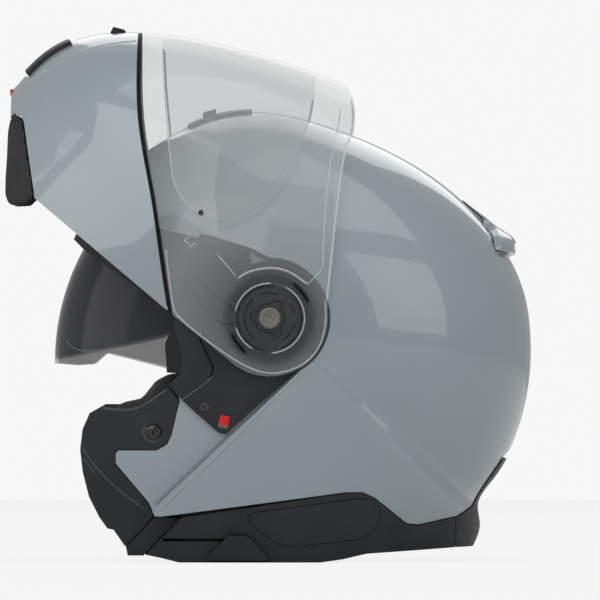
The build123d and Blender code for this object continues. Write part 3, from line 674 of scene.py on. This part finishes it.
@dataclass
class CadDress:
    """Gives the carried-over CAD nodes their finishes."""

    palette: Palette
    finishes: dict[str, Sequence[str]] = field(default_factory=lambda: {
        "lacquer": ("outer_shell", "rear_spoiler", "chin_shell"),
        "plastic": ("front_cover_", "trim_toe_", "lower_trim_", "intercom_cover_",
                    "sun_visor_slider", "chin_vent_plate", "air_lip", "top_vent_base",
                    "top_vent_slider", "rear_trim", "buckle_base", "temple_cover_",
                    "side_plate_"),
        "satin": ("chin_frame", "hinge_cam_", "sun_visor_carrier_", "insert_pins"),
        "rubber": ("brow_trim", "wind_deflector"),
        "red": ("park_lock_", "chin_release_button", "buckle_lever"),
        "line": ("visor_seal",),
        "foam": ("eps_liner",),
        "steel": ("hinge_nuts", "strap_anchors", "latch_jaw_", "sun_visor_pins"),
        "darksteel": ("plate_screws",),
        "gloss": ("lock_pin_",),
        "bolt": ("hinge_bolt_",),
        "clear": ("visor",),
        "insert": ("anti_fog_insert",),
        "smoke": ("sun_visor",),
        "webbing": ("chin_strap_",),
        "lining": ("crown_liner", "cheek_pad_", "neck_roll", "chin_padding"),
    })

    def build(self) -> None:
        """Assign the finishes; a trailing underscore takes both sides' names."""
        for key, names in self.finishes.items():
            for name in names:
                for side in SIDES if name.endswith("_") else ("",):
                    self.palette.dress(frame["nodes"][name + side], key)
                    LOG.info("%s%s: %s", name, side, key)


@dataclass(frozen=True)
class Spot:
    """A place on the helmet's skin and the way out of it."""

    place: Vector
    out: Vector


class Skin:
    """The outside of some carried-over pieces, met from the side."""

    def __init__(self, *nodes: str) -> None:
        """Gather the faces of the named nodes."""
        self.trees = []
        for node in nodes:
            mesh = frame["nodes"][node].data
            self.trees.append(BVHTree.FromPolygons(
                [vertex.co for vertex in mesh.vertices],
                [tuple(face.vertices) for face in mesh.polygons]))

    def land(self, u: float, v: float, side: float) -> Spot | None:
        """Find the skin at a place in the side view.

        Args:
            u: pixels to the right in the side view.
            v: pixels down in the side view.
            side: 1 for the wearer's left, -1 for the right.

        Returns:
            The spot that is met first, or nothing.
        """
        start = side_place(side * CAST_FROM, u, v)
        found = [hit for hit in (tree.ray_cast(start, Vector((-side, 0.0, 0.0)))
                                 for tree in self.trees) if hit[0] is not None]
        if not found:
            return None
        place, out, _, _ = min(found, key=lambda hit: hit[3])
        if place.x * side <= 0.0:
            return None
        return Spot(place, out if out.x * side > 0 else -out)


class Section(Enum):
    """A strip's cross-section: shares of its half width and of its height."""

    BEAD = ((-1, -0.7), (-0.9, 0.3), (-0.5, 0.85), (0, 1), (0.5, 0.85), (0.9, 0.3), (1, -0.7))
    FLAT = ((-1, -0.7), (-1, 0.7), (-0.8, 1), (0.8, 1), (1, 0.7), (1, -0.7))
    CHANNEL = ((-1, -0.7), (-0.95, 0.6), (-0.75, 1), (-0.35, 0.3), (0, 0.05), (0.35, 0.3),
               (0.75, 1), (0.95, 0.6), (1, -0.7))
    SUNK = ((-1, -1), (-1, -0.15), (1, -0.15), (1, -1))


@dataclass(frozen=True)
class Strip:
    """One moulded line that lies along a skin."""

    pixels: Pixels
    half_width: float
    height: float
    section: Section = Section.BEAD
    rounds: int = 2
    closed: bool = False


def polar(radius: float, turn: float) -> Pixel:
    """Return the pixel at a radius in pixels and a turn in degrees about the side hinge."""
    angle = math.radians(turn)
    return (HINGE_PIXEL[0] + radius * math.cos(angle),
            HINGE_PIXEL[1] - radius * math.sin(angle))


def arc(radius: float, first: float, last: float, steps: int = 24) -> Pixels:
    """Return an arc about the side hinge, in side-view pixels.

    Args:
        radius: its radius in pixels.
        first: its first angle in degrees, from the rear, over the top.
        last: its last angle.
        steps: how many straight runs it has.

    Returns:
        Its points.
    """
    return tuple(polar(radius, first + (last - first) * step / steps)
                 for step in range(steps + 1))


class StripLayer:
    """Lays strips on a skin and joins them into one piece."""

    spacing_pixels = 1.3
    end_shares = (0.35, 0.8)

    def __init__(self, name: str, skin: Skin, side: float) -> None:
        """Start an empty piece.

        Args:
            name: the piece's name.
            skin: what it lies on.
            side: 1 for the wearer's left, -1 for the right.
        """
        self.name = name
        self.skin = skin
        self.side = side
        self.mesh = bmesh.new()

    def add(self, strip: Strip) -> None:
        """Lay one strip."""
        spots = [self.skin.land(u, v, self.side) for u, v in self._path(strip)]
        spots = [spot for spot in spots if spot is not None]
        if len(spots) < 3:
            LOG.warning("%s: a strip misses its skin", self.name)
            return
        count = len(spots)
        rings = []
        for number, spot in enumerate(spots):
            near = [spots[other % count] if strip.closed else
                    spots[max(0, min(count - 1, other))]
                    for other in (number - 2, number - 1, number + 1, number + 2)]
            out = (spot.out + sum((one.out for one in near), Vector())).normalized()
            along = (near[2].place - near[1].place).normalized()
            across = along.cross(out).normalized()
            edge = count if strip.closed else min(number, count - 1 - number)
            share = self.end_shares[edge] if edge < len(self.end_shares) else 1.0
            rings.append([self.mesh.verts.new(
                spot.place + across * a * strip.half_width * share +
                out * b * strip.height * share) for a, b in strip.section.value])
        tube(self.mesh, rings, strip.closed)

    def _path(self, strip: Strip) -> list[tuple[float, float]]:
        """Round a strip's corners and space its points evenly."""
        points = list(strip.pixels)
        for _ in range(strip.rounds):
            ring = points + points[:1] if strip.closed else points
            cut = [] if strip.closed else [points[0]]
            for (u, v), (s, t) in zip(ring, ring[1:]):
                cut += [(0.75 * u + 0.25 * s, 0.75 * v + 0.25 * t),
                        (0.25 * u + 0.75 * s, 0.25 * v + 0.75 * t)]
            points = cut if strip.closed else cut + [points[-1]]
        ring = points + points[:1] if strip.closed else points
        spaced = [ring[0]]
        for (u, v), (s, t) in zip(ring, ring[1:]):
            parts = max(1, round(math.hypot(s - u, t - v) / self.spacing_pixels))
            spaced += [(u + (s - u) * part / parts, v + (t - v) * part / parts)
                       for part in range(1, parts + 1)]
        return spaced[:-1] if strip.closed else spaced


def turned(name: str, pixel: Pixel, depth: float, side: float,
           profile: Profile) -> bpy.types.Object:
    """Turn a round piece about a line across the helmet.

    Args:
        name: the piece's name.
        pixel: its middle in the side view.
        depth: how far from the middle plane its base lies, in metres.
        side: 1 for the wearer's left, -1 for the right.
        profile: radii with heights above the base, in millimetres.

    Returns:
        The finished piece.
    """
    deselect()
    bpy.ops.mesh.primitive_circle_add(vertices=48, radius=profile[0][0] * MM,
                                      fill_type="NGON")
    obj = bpy.context.object
    obj.name = name
    bpy.ops.object.mode_set(mode="EDIT")
    bpy.ops.mesh.select_all(action="SELECT")
    for (radius, height), (wider, higher) in zip(profile, profile[1:]):
        bpy.ops.mesh.extrude_region_move(
            TRANSFORM_OT_translate={"value": (0.0, 0.0, (higher - height) * MM)})
        bpy.ops.transform.resize(value=(wider / radius, wider / radius, 1.0))
    bpy.ops.object.mode_set(mode="OBJECT")
    face_sideways(obj, pixel, depth, side, 40.0)
    return obj


def rounded_ring(name: str, pixel: Pixel, depth: float, side: float,
                 profile: tuple[float, float, float]) -> bpy.types.Object:
    """Make a rounded ring about a line across the helmet.

    Args:
        name: the piece's name.
        pixel: its middle in the side view.
        depth: how far from the middle plane its middle lies, in metres.
        side: 1 for the wearer's left, -1 for the right.
        profile: its inner and outer radius and its thickness, in millimetres.

    Returns:
        The finished ring.
    """
    inner, outer, height = profile
    deselect()
    bpy.ops.mesh.primitive_torus_add(
        major_segments=40, minor_segments=10, major_radius=(inner + outer) / 2 * MM,
        minor_radius=(outer - inner) / 2 * MM)
    ring = bpy.context.object
    ring.name = name
    edit(ring, lambda: bpy.ops.transform.resize(value=(1.0, 1.0, height / (outer - inner))))
    face_sideways(ring, pixel, depth, side, 60.0)
    return ring


def skin_depth(node: str, pixel: Pixel, side: float) -> float:
    """Return how far from the middle plane a piece's outside lies at a pixel, in metres."""
    spot = Skin(node).land(*pixel, side)
    if spot is None:
        raise ValueError(f"{node} has no outside at {pixel}")
    return abs(spot.place.x)


def end_depth(node: str, side: float) -> float:
    """Return how far from the middle plane a piece's outer end lies, in metres."""
    low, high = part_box(node)
    return abs((high if side > 0 else low)[0])


@dataclass
class Fitter:
    """Dresses new pieces and hangs them on their bodies."""

    palette: Palette

    def fit(self, obj: bpy.types.Object, finish: str, body: str) -> None:
        """Give a piece its finish and its body.

        Args:
            obj: the piece.
            finish: a key of the palette.
            body: the body that it moves with.
        """
        self.palette.dress(obj, finish)
        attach(obj, body)
        LOG.info("%s rides on %s", obj.name, body)

    def lay(self, name: str, nodes: Sequence[str], strips: Sequence[Strip], finish: str,
            body: str) -> None:
        """Lay the same strips on both sides, as one piece a side.

        Args:
            name: the pieces' name without its side.
            nodes: what they lie on; a trailing underscore takes the side's name.
            strips: the strips.
            finish: a key of the palette.
            body: the body that they move with.
        """
        for side, sign in SIDES.items():
            skin = Skin(*[node + side if node.endswith("_") else node for node in nodes])
            layer = StripLayer(f"{name}_{side}", skin, sign)
            for strip in strips:
                layer.add(strip)
            self.fit(keep(layer.mesh, layer.name, 50.0), finish, body)


@dataclass
class Padding:
    """Comfort padding: cheek pads, crown liner, neck roll and chin pad."""

    fitter: Fitter
    maker: PadMaker = field(default_factory=PadMaker)
    cheek_seams: tuple[Pixels, ...] = (
        ((118, 418), (148, 440), (164, 472), (160, 512)),
        ((150, 404), (196, 398), (250, 410), (292, 432), (304, 470), (296, 506)))
    crown_seam: float = 34.0 * MM
    neck_seams: tuple[float, ...] = (10.0 * MM, 58.0 * MM, 96.0 * MM)

    def build(self) -> None:
        """Make every pad and hang it on its body."""
        for side, sign in SIDES.items():
            seams = [Seam(lambda place, line=line: side_gap(place, line),
                          lambda place, out, sign=sign: out.x * sign < 0.1)
                     for line in self.cheek_seams]
            self._pad(f"cheek_pad_{side}", f"cheek_cushion_{side}", "shell", seams)
        crown = [Seam(lambda place: abs(abs(place.x) - self.crown_seam),
                      lambda place, out: out.z < 0.0)]
        self._pad("crown_liner", "crown_cushion", "shell", crown)
        neck = [Seam(lambda place, across=across: abs(place.y - across),
                     lambda place, out: out.z < 0.6) for across in self.neck_seams]
        self._pad("neck_roll", "neck_cushion", "shell", neck)
        chin = [Seam(lambda place: abs(place.x), lambda place, out: out.y > 0.0)]
        self._pad("chin_padding", "chin_cushion", "chin_bar", chin)

    def _pad(self, node: str, name: str, body: str,
             seams: Sequence[Seam]) -> None:
        """Make one pad, hang it on its body and hide its CAD pad.

        Args:
            node: the CAD pad it stands for.
            name: the piece's name.
            body: the body it rides on.
            seams: the seams sewn into it.
        """
        pad = self.maker.make(node, name)
        for seam in seams:
            seam.press(pad)
        self.fitter.fit(pad, "lining", body)
        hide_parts(node)
        LOG.info("%s: %d faces", name, len(pad.data.polygons))


@dataclass
class VisorTrim:
    """Moulded ribs, dark slots and cut edges of the clear visor; ribs and edges are paler than the
    sheet as painted highlight, slots are painted shade.
    """

    fitter: Fitter
    rib_half_width: float = 0.65 * MM
    rib_height: float = 0.45 * MM
    edge_half_width: float = 0.45 * MM
    slot_half_width: float = 1.1 * MM
    ring_radius: float = 34.5

    def build(self) -> None:
        """Lay every line of the visor on both sides."""
        rib, high = self.rib_half_width, self.rib_height
        ring = [Strip(arc(self.ring_radius, first, last), rib * 0.7, high, rounds=0)
                for first, last in ((168, 88), (62, -87), (195, 241))]
        grip = Strip(((238.5, 278.5), (250.6, 271), (271, 267.6), (289, 271), (307.6, 284.5)),
                     rib, high * 1.4)
        notch = Strip(((307.6, 284.5), (322.7, 268.8)), rib * 0.5, high * 0.6)
        groove = Strip(((218.5, 255), (237, 277)), rib * 0.6, high * 0.6)
        self.fitter.lay("visor_pivot_ribs", ["visor"], [*ring, grip, notch, groove], "rib",
                        "visor")
        # The slots are dark flat strips on the visor: painted shade of the openings
        slots = [Strip(pixels, self.slot_half_width, 0.12 * MM, Section.FLAT, rounds=1)
                 for pixels in (((293, 283), (302, 292), (308.5, 302)),
                                ((232.4, 333), (238.5, 344), (247, 353)))]
        self.fitter.lay("visor_pivot_slots", ["visor"], slots, "line", "visor")
        low_edge = ((167.4, 250), (169.4, 268), (172.2, 290), (174.6, 307),
                    (178, 314.8), (198, 332.6), (235, 359.5), (259, 371.2), (277, 373),
                    (300, 366.5), (318.5, 350), (326, 323), (324.6, 301))
        rear_edge = ((326.5, 300), (334, 230), (343, 155), (352.5, 131), (353.8, 112),
                     (351.5, 99))
        rear_line = ((322.4, 268), (323.5, 230), (329, 165), (338, 128), (341, 108))
        edges = [Strip(low_edge, self.edge_half_width, 0.25 * MM),
                 Strip(rear_edge, self.edge_half_width * 1.5, 0.25 * MM),
                 Strip(rear_line, self.edge_half_width * 0.8, 0.2 * MM)]
        self.fitter.lay("visor_edge", ["visor"], edges, "rib", "visor")
        bead = ((163.5, 48), (165, 86), (170, 142), (174, 182), (185, 204), (202, 216.5),
                (226, 222.5), (247, 215.5), (269, 200), (285.5, 175), (297.5, 151),
                (310, 118), (313, 100))
        self.fitter.lay("insert_seal", ["anti_fog_insert"],
                        [Strip(bead, self.edge_half_width * 1.3, 0.25 * MM)], "rib", "visor")


@dataclass
class ArmMarks:
    """Moulded lines, guide clip and hub face of the chin bar's arms; the lines and cam lobes are
    dark strips of painted shade.
    """

    fitter: Fitter
    hub_ring: float = 25.0
    groove_ring: float = 32.0
    lobe_radius: float = 14.6
    lobe_rise: float = 4.6
    lobe_turns: tuple[float, ...] = (176.0, 62.0, -62.0)
    lobe_spread: float = 16.0

    def _lobes(self) -> Pixels:
        """Return the outline of the cam's stop ring, in side-view pixels."""
        points = []
        for turn in range(0, 360, 6):
            near = min(abs((turn - lobe + 180) % 360 - 180) for lobe in self.lobe_turns)
            points.append(polar(
                self.lobe_radius + self.lobe_rise * (near < self.lobe_spread), turn))
        return tuple(points)

    def build(self) -> None:
        """Lay the lines on both arms."""
        marks = [Strip(line, 0.5 * MM, 0.2 * MM, Section.FLAT) for line in (
            ((198.5, 261.5), (186.5, 272.5), (187.5, 282), (215.5, 319.7), (222.7, 324.5),
             (235, 324.5)),
            ((195, 275), (218, 296.7), (224, 301.5), (230, 303.3), (233.6, 311)),
            ((219, 255), (227, 265.5), (237, 277.5)))]
        marks += [Strip(arc(self.hub_ring, first, last), 0.6 * MM, 0.2 * MM, Section.FLAT,
                        rounds=0) for first, last in ((-60, 40), (70, 250))]
        marks += [Strip(arc(self.groove_ring, first, last), 0.9 * MM, 0.2 * MM, Section.FLAT,
                        rounds=0) for first, last in ((-70, 45), (80, 262))]
        self.fitter.lay("arm_lines", ["chin_frame"], marks, "line", "chin_bar")
        self.fitter.lay("cam_lobes", ["hinge_cam_"], [
            Strip(self._lobes(), 0.55 * MM, 0.2 * MM, Section.FLAT, rounds=1, closed=True)],
            "line", "chin_bar")
        clip = Strip(((190.4, 237.6), (186, 241), (192.5, 247.6), (196.6, 242.8)), 0.5 * MM,
                     0.8 * MM, Section.FLAT, rounds=0)
        self.fitter.lay("guide_clip", ["chin_frame"], [clip], "aluminium", "chin_bar")


@dataclass
class HingeFace:
    """Round details at the side: hinge caps, lock pins, screw collars and cover feet.

    The profiles are in millimetres.
    """

    fitter: Fitter
    screw_pixel: Pixel = (206.4, 405.5)
    plate_pixel: Pixel = (198.4, 405.5)
    pin_pixel: Pixel = (154.8, 431.0)
    recess_pixel: Pixel = (163.8, 431.0)
    cover_pixel: Pixel = (175.5, 320.0)
    foot_pixel: Pixel = (173.2, 314.2)
    cap_profile: Profile = (
        (6.3, 0.0), (6.3, 0.35), (5.922, 0.55), (4.536, 0.55), (4.347, 0.45), (1.89, 0.5),
        (1.26, 0.5), (0.756, 0.1))
    head_profile: Profile = (
        (4.7, 0.0), (4.7, 1.0), (4.4, 1.35), (3.7, 1.75), (2.8, 2.0), (1.8, 2.15), (1.1, 2.2),
        (0.95, 2.1), (0.9, 1.0))
    dimple_profile: Profile = ((0.8, 0.0), (0.8, 0.32), (0.7, 0.36))
    foot_profile: Profile = ((2.35, 0.0), (2.35, 1.8), (2.0, 2.1), (1.2, 2.2))
    dish_ring: tuple[float, float, float] = (5.0, 6.6, 0.75)
    collar_ring: tuple[float, float, float] = (2.2, 3.2, 0.5)

    def build(self) -> None:
        """Make the details on both sides, each a set depth into what it sits in."""
        for side, sign in SIDES.items():
            bolt = end_depth(f"hinge_bolt_{side}", sign)
            recess = skin_depth(f"front_cover_{side}", self.recess_pixel, sign)
            pin = end_depth(f"lock_pin_{side}", sign)
            plate = skin_depth(f"side_plate_{side}", self.plate_pixel, sign)
            cover = skin_depth(f"temple_cover_{side}", self.cover_pixel, sign)
            for name, finish, make, pixel, depth, profile in (
                    ("hinge_cap", "bolt", turned, HINGE_PIXEL, bolt - 0.3 * MM,
                     self.cap_profile),
                    # The pin dish in the lighter black: painted highlight
                    ("pin_dish", "edge", rounded_ring, self.pin_pixel, recess - 0.25 * MM,
                     self.dish_ring),
                    ("pin_head", "gloss", turned, self.pin_pixel, recess - 0.85 * MM,
                     self.head_profile),
                    # The dimple is a near-black disc: painted shade of the pin's hole
                    ("pin_dimple", "line", turned, self.pin_pixel, pin - 0.3 * MM,
                     self.dimple_profile),
                    ("screw_collar", "darksteel", rounded_ring, self.screw_pixel,
                     plate - 0.2 * MM, self.collar_ring),
                    ("cover_foot", "rubber", turned, self.foot_pixel, cover - 3.4 * MM,
                     self.foot_profile)):
                piece = make(f"{name}_{side}", pixel, depth, sign, profile)
                self.fitter.fit(piece, finish, "shell")


@dataclass
class BodyLines:
    """Character lines of the painted shells, the black covers and the sun visor."""

    fitter: Fitter
    joint_depth: float = 1.0 * MM

    def _joint(self, half_width: float, *pixels: Pixel) -> Strip:
        """Return a dark strip of straight runs, set deep between two covers as painted shade in the
        gap.
        """
        return Strip(pixels, half_width, self.joint_depth, Section.SUNK, rounds=0)

    def build(self) -> None:
        """Lay the lines on both sides."""
        chin = Strip(((22, 86), (48, 70), (75, 54.5), (102, 45.5), (137, 41.5)), 1.6 * MM,
                     0.45 * MM)
        self.fitter.lay("chin_crease", ["chin_shell"], [chin], "lacquer", "chin_bar")
        # The swage band takes the darker lacquer: painted shade in the groove
        swage = Strip(((301, 365), (255, 407.6), (225, 439.8), (177.3, 484.8), (158, 503)),
                      2.0 * MM, 0.2 * MM, Section.CHANNEL)
        self.fitter.lay("shell_swage", ["outer_shell"], [swage], "shade", "shell")
        lip = Strip(((303, 370.5), (259.5, 411.5), (228.6, 443.6), (181, 488.8), (162, 507)),
                    0.7 * MM, 0.3 * MM)
        self.fitter.lay("swage_lip", ["outer_shell"], [lip], "lacquer", "shell")
        # The crease ridges take the lighter black: painted highlight along them
        creases = [Strip(((83.8, 446), (98, 467), (122, 490.5), (146.5, 508)), 0.8 * MM,
                         0.35 * MM),
                   Strip(((85.5, 457), (96.7, 472)), 0.7 * MM, 0.3 * MM),
                   Strip(((104, 407.2), (124.5, 409.8), (142.7, 407), (168, 389)), 1.0 * MM,
                         0.5 * MM)]
        self.fitter.lay("cover_creases", ["front_cover_"], creases, "edge", "shell")
        joint = self._joint(1.2 * MM, (199.5, 336), (202, 341), (213.7, 366.5), (211.6, 378),
                            (183.6, 398))
        # A flat near-black bead over the joint hides its lit step: painted shade
        crest = Strip(joint.pixels, 0.45 * MM, 0.25 * MM, Section.FLAT, rounds=0)
        self.fitter.lay("plate_joint", ["temple_cover_", "side_plate_"], [joint, crest],
                        "line", "shell")
        toe = [self._joint(1.5 * MM, (153.8, 518.4), (126.9, 547.4)),
               self._joint(2.9 * MM, (163.0, 530.6), (145.2, 551.3))]
        self.fitter.lay("toe_joint", ["trim_toe_"], toe, "line", "shell")
        # The spoiler joint is a flat near-black strip: painted shade in the seam
        seam = Strip(((462, 200.5), (480.6, 216.7), (482.8, 220), (481.5, 226), (489.7, 232),
                      (492.6, 237), (492.8, 246.5), (495, 251), (509, 253.8)), 0.35 * MM,
                     0.2 * MM, Section.FLAT)
        self.fitter.lay("spoiler_joint", ["rear_spoiler", "outer_shell"], [seam], "line",
                        "shell")
        slot = self._joint(3.1 * MM, (163.8, 536.6), (222, 536.6))
        rear = self._joint(1.7 * MM, (454.2, 518), (454.2, 546))
        self.fitter.lay("trim_slot", ["lower_trim_"], [slot, rear], "line", "shell")
        foot = Strip(((66, 340), (80, 352), (107, 348.5), (153, 341), (168, 333.5)),
                     0.35 * MM, 0.15 * MM)
        self.fitter.lay("sun_visor_line", ["sun_visor"], [foot], "smoke_edge", "sun_visor")


@dataclass
class ChinStraps:
    """Woven chin straps, sewn double at their anchored ends."""

    fitter: Fitter
    half_width: float = 11.7 * MM
    thickness: float = 1.8 * MM
    sag: float = 3.4 * MM
    steps: int = 44
    doubled_share: float = 0.72
    fold_drop: float = 0.98
    stitch_length: float = 2.2 * MM
    stitch_radius: float = 0.32 * MM
    stitch_rise: float = 0.1 * MM
    stitch_rows: tuple[float, float] = (0.75, 0.93)
    stitch_columns: float = 0.2
    upper_section: Profile = ((-0.97, 0.8), (-0.9, 1.0), (-0.8, 0.84), (0.0, 0.9), (0.8, 0.84),
                              (0.9, 1.0), (0.97, 0.8))

    def build(self) -> None:
        """Make both straps with their stitches."""
        for side, sign in SIDES.items():
            low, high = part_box(f"chin_strap_{side}")
            near, far = (low[0], high[0]) if sign > 0 else (high[0], low[0])
            middle = (low[1] + high[1]) / 2
            ends = (Vector((near, middle, low[2] + self.thickness / 2)),
                    Vector((far - sign * 0.4 * MM, middle, high[2] - self.thickness)))
            strap = self._ribbon(f"strap_webbing_{side}", ends, 0.0, 0.0)
            self.fitter.fit(strap, "webbing", "shell")
            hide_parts(f"chin_strap_{side}")
            fold = self._ribbon(f"strap_fold_{side}", ends, self.doubled_share,
                                -self.thickness * self.fold_drop)
            self.fitter.fit(fold, "webbing", "shell")
            self.fitter.fit(self._stitches(f"strap_stitches_{side}", ends), "thread", "shell")

    def _point(self, ends: tuple[Vector, Vector], share: float) -> Vector:
        """Return a point along the sagging strap."""
        point = ends[0].lerp(ends[1], share)
        point.z -= 4.0 * self.sag * share * (1.0 - share)
        return point

    def _ribbon(self, name: str, ends: tuple[Vector, Vector], first: float,
                drop: float) -> bpy.types.Object:
        """Make a length of webbing with rounded, slightly thicker edges.

        Args:
            name: the piece's name.
            ends: the strap's two ends.
            first: the share of the strap at which it starts.
            drop: how far it lies off the strap's middle, in metres.

        Returns:
            The finished ribbon.
        """
        half, thick = self.half_width, self.thickness / 2
        section = [(-1.0, 0.0), *self.upper_section, (1.0, 0.0),
                   *[(a, -b) for a, b in reversed(self.upper_section)]]
        mesh = bmesh.new()
        rings = []
        for step in range(self.steps + 1):
            share = first + (1.0 - first) * step / self.steps
            point = self._point(ends, share)
            along = self._point(ends, share + 0.01) - self._point(ends, share - 0.01)
            out = along.cross(Vector((0.0, 1.0, 0.0))).normalized()
            out = out if out.z > 0 else -out
            rings.append([mesh.verts.new(point + out * (drop + thick * b) +
                                         Vector((0.0, half * a, 0.0))) for a, b in section])
        tube(mesh, rings)
        return keep(mesh, name, 40.0)

    def _stitches(self, name: str, ends: tuple[Vector, Vector]) -> bpy.types.Object:
        """Sew a box of stitches through the doubled end."""
        mesh = bmesh.new()
        rows = [(share, across) for share in self.stitch_rows
                for across in (-0.7, -0.42, -0.14, 0.14, 0.42, 0.7)]
        columns = [(self.stitch_rows[0] + self.stitch_columns * step / 7, across)
                   for step in range(1, 7) for across in (-0.78, 0.78)]
        long, slim = self.stitch_length / 2, self.stitch_radius
        lifts = (self.thickness * 0.5 + self.stitch_rise,
                 -self.thickness * (0.5 + self.fold_drop) - self.stitch_rise)
        for share, across in rows + columns:
            point = self._point(ends, share)
            length, width = (long, slim) if (share, across) in columns else (slim, long)
            for lift in lifts:
                made = bmesh.ops.create_icosphere(mesh, subdivisions=1, radius=1.0)
                for vertex in made["verts"]:
                    x, y, z = vertex.co
                    vertex.co = point + Vector((
                        x * length, self.half_width * across + y * width, lift + z * slim))
        return keep(mesh, name, 40.0)


@dataclass
class ChinSkirt:
    """Rubber wind deflector with its folded ridge."""

    fitter: Fitter
    voxel: float = 1.5 * MM
    grow: float = 0.5 * MM
    ridge: Pixels = ((13.5, 122), (19, 136), (20.5, 154), (19.3, 178), (23, 200))
    ridge_height: float = 0.9 * MM
    ridge_width: float = 2.2 * MM
    dip_depth: float = 0.7 * MM
    dip_width: float = 1.8 * MM
    dip_gap: float = 5.0 * MM
    rear_share: float = 0.25

    def build(self) -> None:
        """Make the deflector from its solid and raise its fold."""
        skirt = remeshed("wind_deflector", "deflector_skirt", self.voxel)
        edit(skirt, lambda: bpy.ops.mesh.vertices_smooth(factor=0.5, repeat=3))
        for vertex in skirt.data.vertices:
            gap = side_gap(vertex.co, self.ridge)
            share = abs(vertex.normal.x) * (1.0 if vertex.normal.y < 0 else self.rear_share)
            lift = self.ridge_height * math.exp(-(gap / self.ridge_width) ** 2)
            dip = self.dip_depth * math.exp(-((gap - self.dip_gap) / self.dip_width) ** 2)
            vertex.co += vertex.normal * (self.grow + (lift - dip) * share)
        skirt.data.update()
        smooth(skirt, 60.0)
        self.fitter.fit(skirt, "rubber", "chin_bar")
        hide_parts("wind_deflector")


@dataclass
class Studio:
    """Pale floor, soft lamps and the camera."""

    image: float = 600.0
    distance: float = 10.0
    floor_size: float = 6.0
    paper: tuple[float, ...] = (0.93, 0.93, 0.93, 1.0)
    floor_share: float = 0.92
    room_light: float = 0.36
    aim: tuple[float, float, float] = (0.0, 0.02, 0.16)

    def build(self) -> None:
        """Make the stage."""
        self._view()
        self._floor()
        self._world()
        for name, place, size, power in (
                ("key_lamp", (2.0, -0.9, 1.9), 2.2, 28.0),
                ("top_lamp", (0.5, 0.5, 2.1), 1.8, 12.0),
                ("front_lamp", (0.3, -2.0, 0.9), 1.6, 12.0),
                ("rear_lamp", (1.6, 1.7, 0.9), 1.5, 9.0),
                ("far_lamp", (-1.8, 0.2, 1.3), 1.4, 8.0)):
            self._lamp(name, place, size, power)
        LOG.info("studio ready")

    def _view(self) -> None:
        """Place the camera at the wearer's left, at the photograph's angle."""
        data = bpy.data.cameras.new("camera")
        data.sensor_width = 36.0
        data.lens = data.sensor_width * self.distance / (self.image * PIXEL)
        data.clip_start, data.clip_end = 0.1, 60.0
        camera = bpy.data.objects.new("camera", data)
        bpy.context.scene.collection.objects.link(camera)
        half = self.image / 2
        camera.location = side_place(self.distance, half, half)
        camera.rotation_euler = (math.radians(90), 0, math.radians(90))
        bpy.context.scene.camera = camera

    def _floor(self) -> None:
        """Lay a floor that shows as the pale backdrop and keeps the shadow."""
        deselect()
        bpy.ops.mesh.primitive_plane_add(size=self.floor_size, location=(0, 0, -0.2 * MM))
        floor = bpy.context.object
        floor.name = "floor"
        bench = NodeBench("floor_paper")
        bench.put("Base Color", (0.75, 0.75, 0.75, 1.0))
        bench.put("Roughness", 0.9)
        bench.put("Specular IOR Level", 0.0)
        glow = bench.node("Emission")
        glow.inputs["Color"].default_value = self.paper
        seen = bench.blend("MULTIPLY", bench.node("LightPath").outputs["Is Camera Ray"],
                           self.floor_share)
        mix = bench.node("MixShader")
        for place, source in enumerate((seen, bench.shader.outputs[0], glow.outputs[0])):
            bench.link(source, mix.inputs[place])
        bench.link(mix.outputs[0], bench.output.inputs["Surface"])
        floor.data.materials.append(bench.material)

    def _world(self) -> None:
        """Light the room evenly, with a pale backdrop for the camera and clear pieces."""
        world = bpy.data.worlds.new("room")
        bpy.context.scene.world = world
        world.use_nodes = True
        tree = world.node_tree
        tree.nodes.clear()
        output, room, paper, path, seen, mix = (
            tree.nodes.new("ShaderNode" + kind) for kind in (
                "OutputWorld", "Background", "Background", "LightPath", "Math", "MixShader"))
        room.inputs["Color"].default_value = (1.0, 1.0, 1.0, 1.0)
        room.inputs["Strength"].default_value = self.room_light
        paper.inputs["Color"].default_value = self.paper
        seen.operation = "MAXIMUM"
        for source, target in (
                (path.outputs["Is Camera Ray"], seen.inputs[0]),
                (path.outputs["Is Transmission Ray"], seen.inputs[1]),
                (seen.outputs[0], mix.inputs[0]), (room.outputs[0], mix.inputs[1]),
                (paper.outputs[0], mix.inputs[2]), (mix.outputs[0], output.inputs["Surface"])):
            tree.links.new(source, target)

    def _lamp(self, name: str, place: tuple[float, float, float], size: float,
              power: float) -> None:
        """Hang a square soft lamp that faces the helmet.

        Args:
            name: the lamp's name.
            place: where it hangs, in metres.
            size: its side, in metres.
            power: its power in watts.
        """
        data = bpy.data.lights.new(name, "AREA")
        data.shape = "SQUARE"
        data.size = size
        data.energy = power
        lamp = bpy.data.objects.new(name, data)
        bpy.context.scene.collection.objects.link(lamp)
        lamp.location = place
        towards = Vector(self.aim) - Vector(place)
        lamp.rotation_euler = towards.to_track_quat("-Z", "Y").to_euler()
        lamp.visible_camera = False


def main() -> None:
    """Build the looks in order."""
    logging.basicConfig(level=logging.INFO)
    bpy.context.scene.view_settings.view_transform = "Standard"
    Studio().build()
    palette = Palette()
    CadDress(palette).build()
    fitter = Fitter(palette)
    for assembly in (Padding, VisorTrim, ArmMarks, HingeFace, BodyLines, ChinStraps,
                     ChinSkirt):
        assembly(fitter).build()


if __name__ == "__main__":
    main()
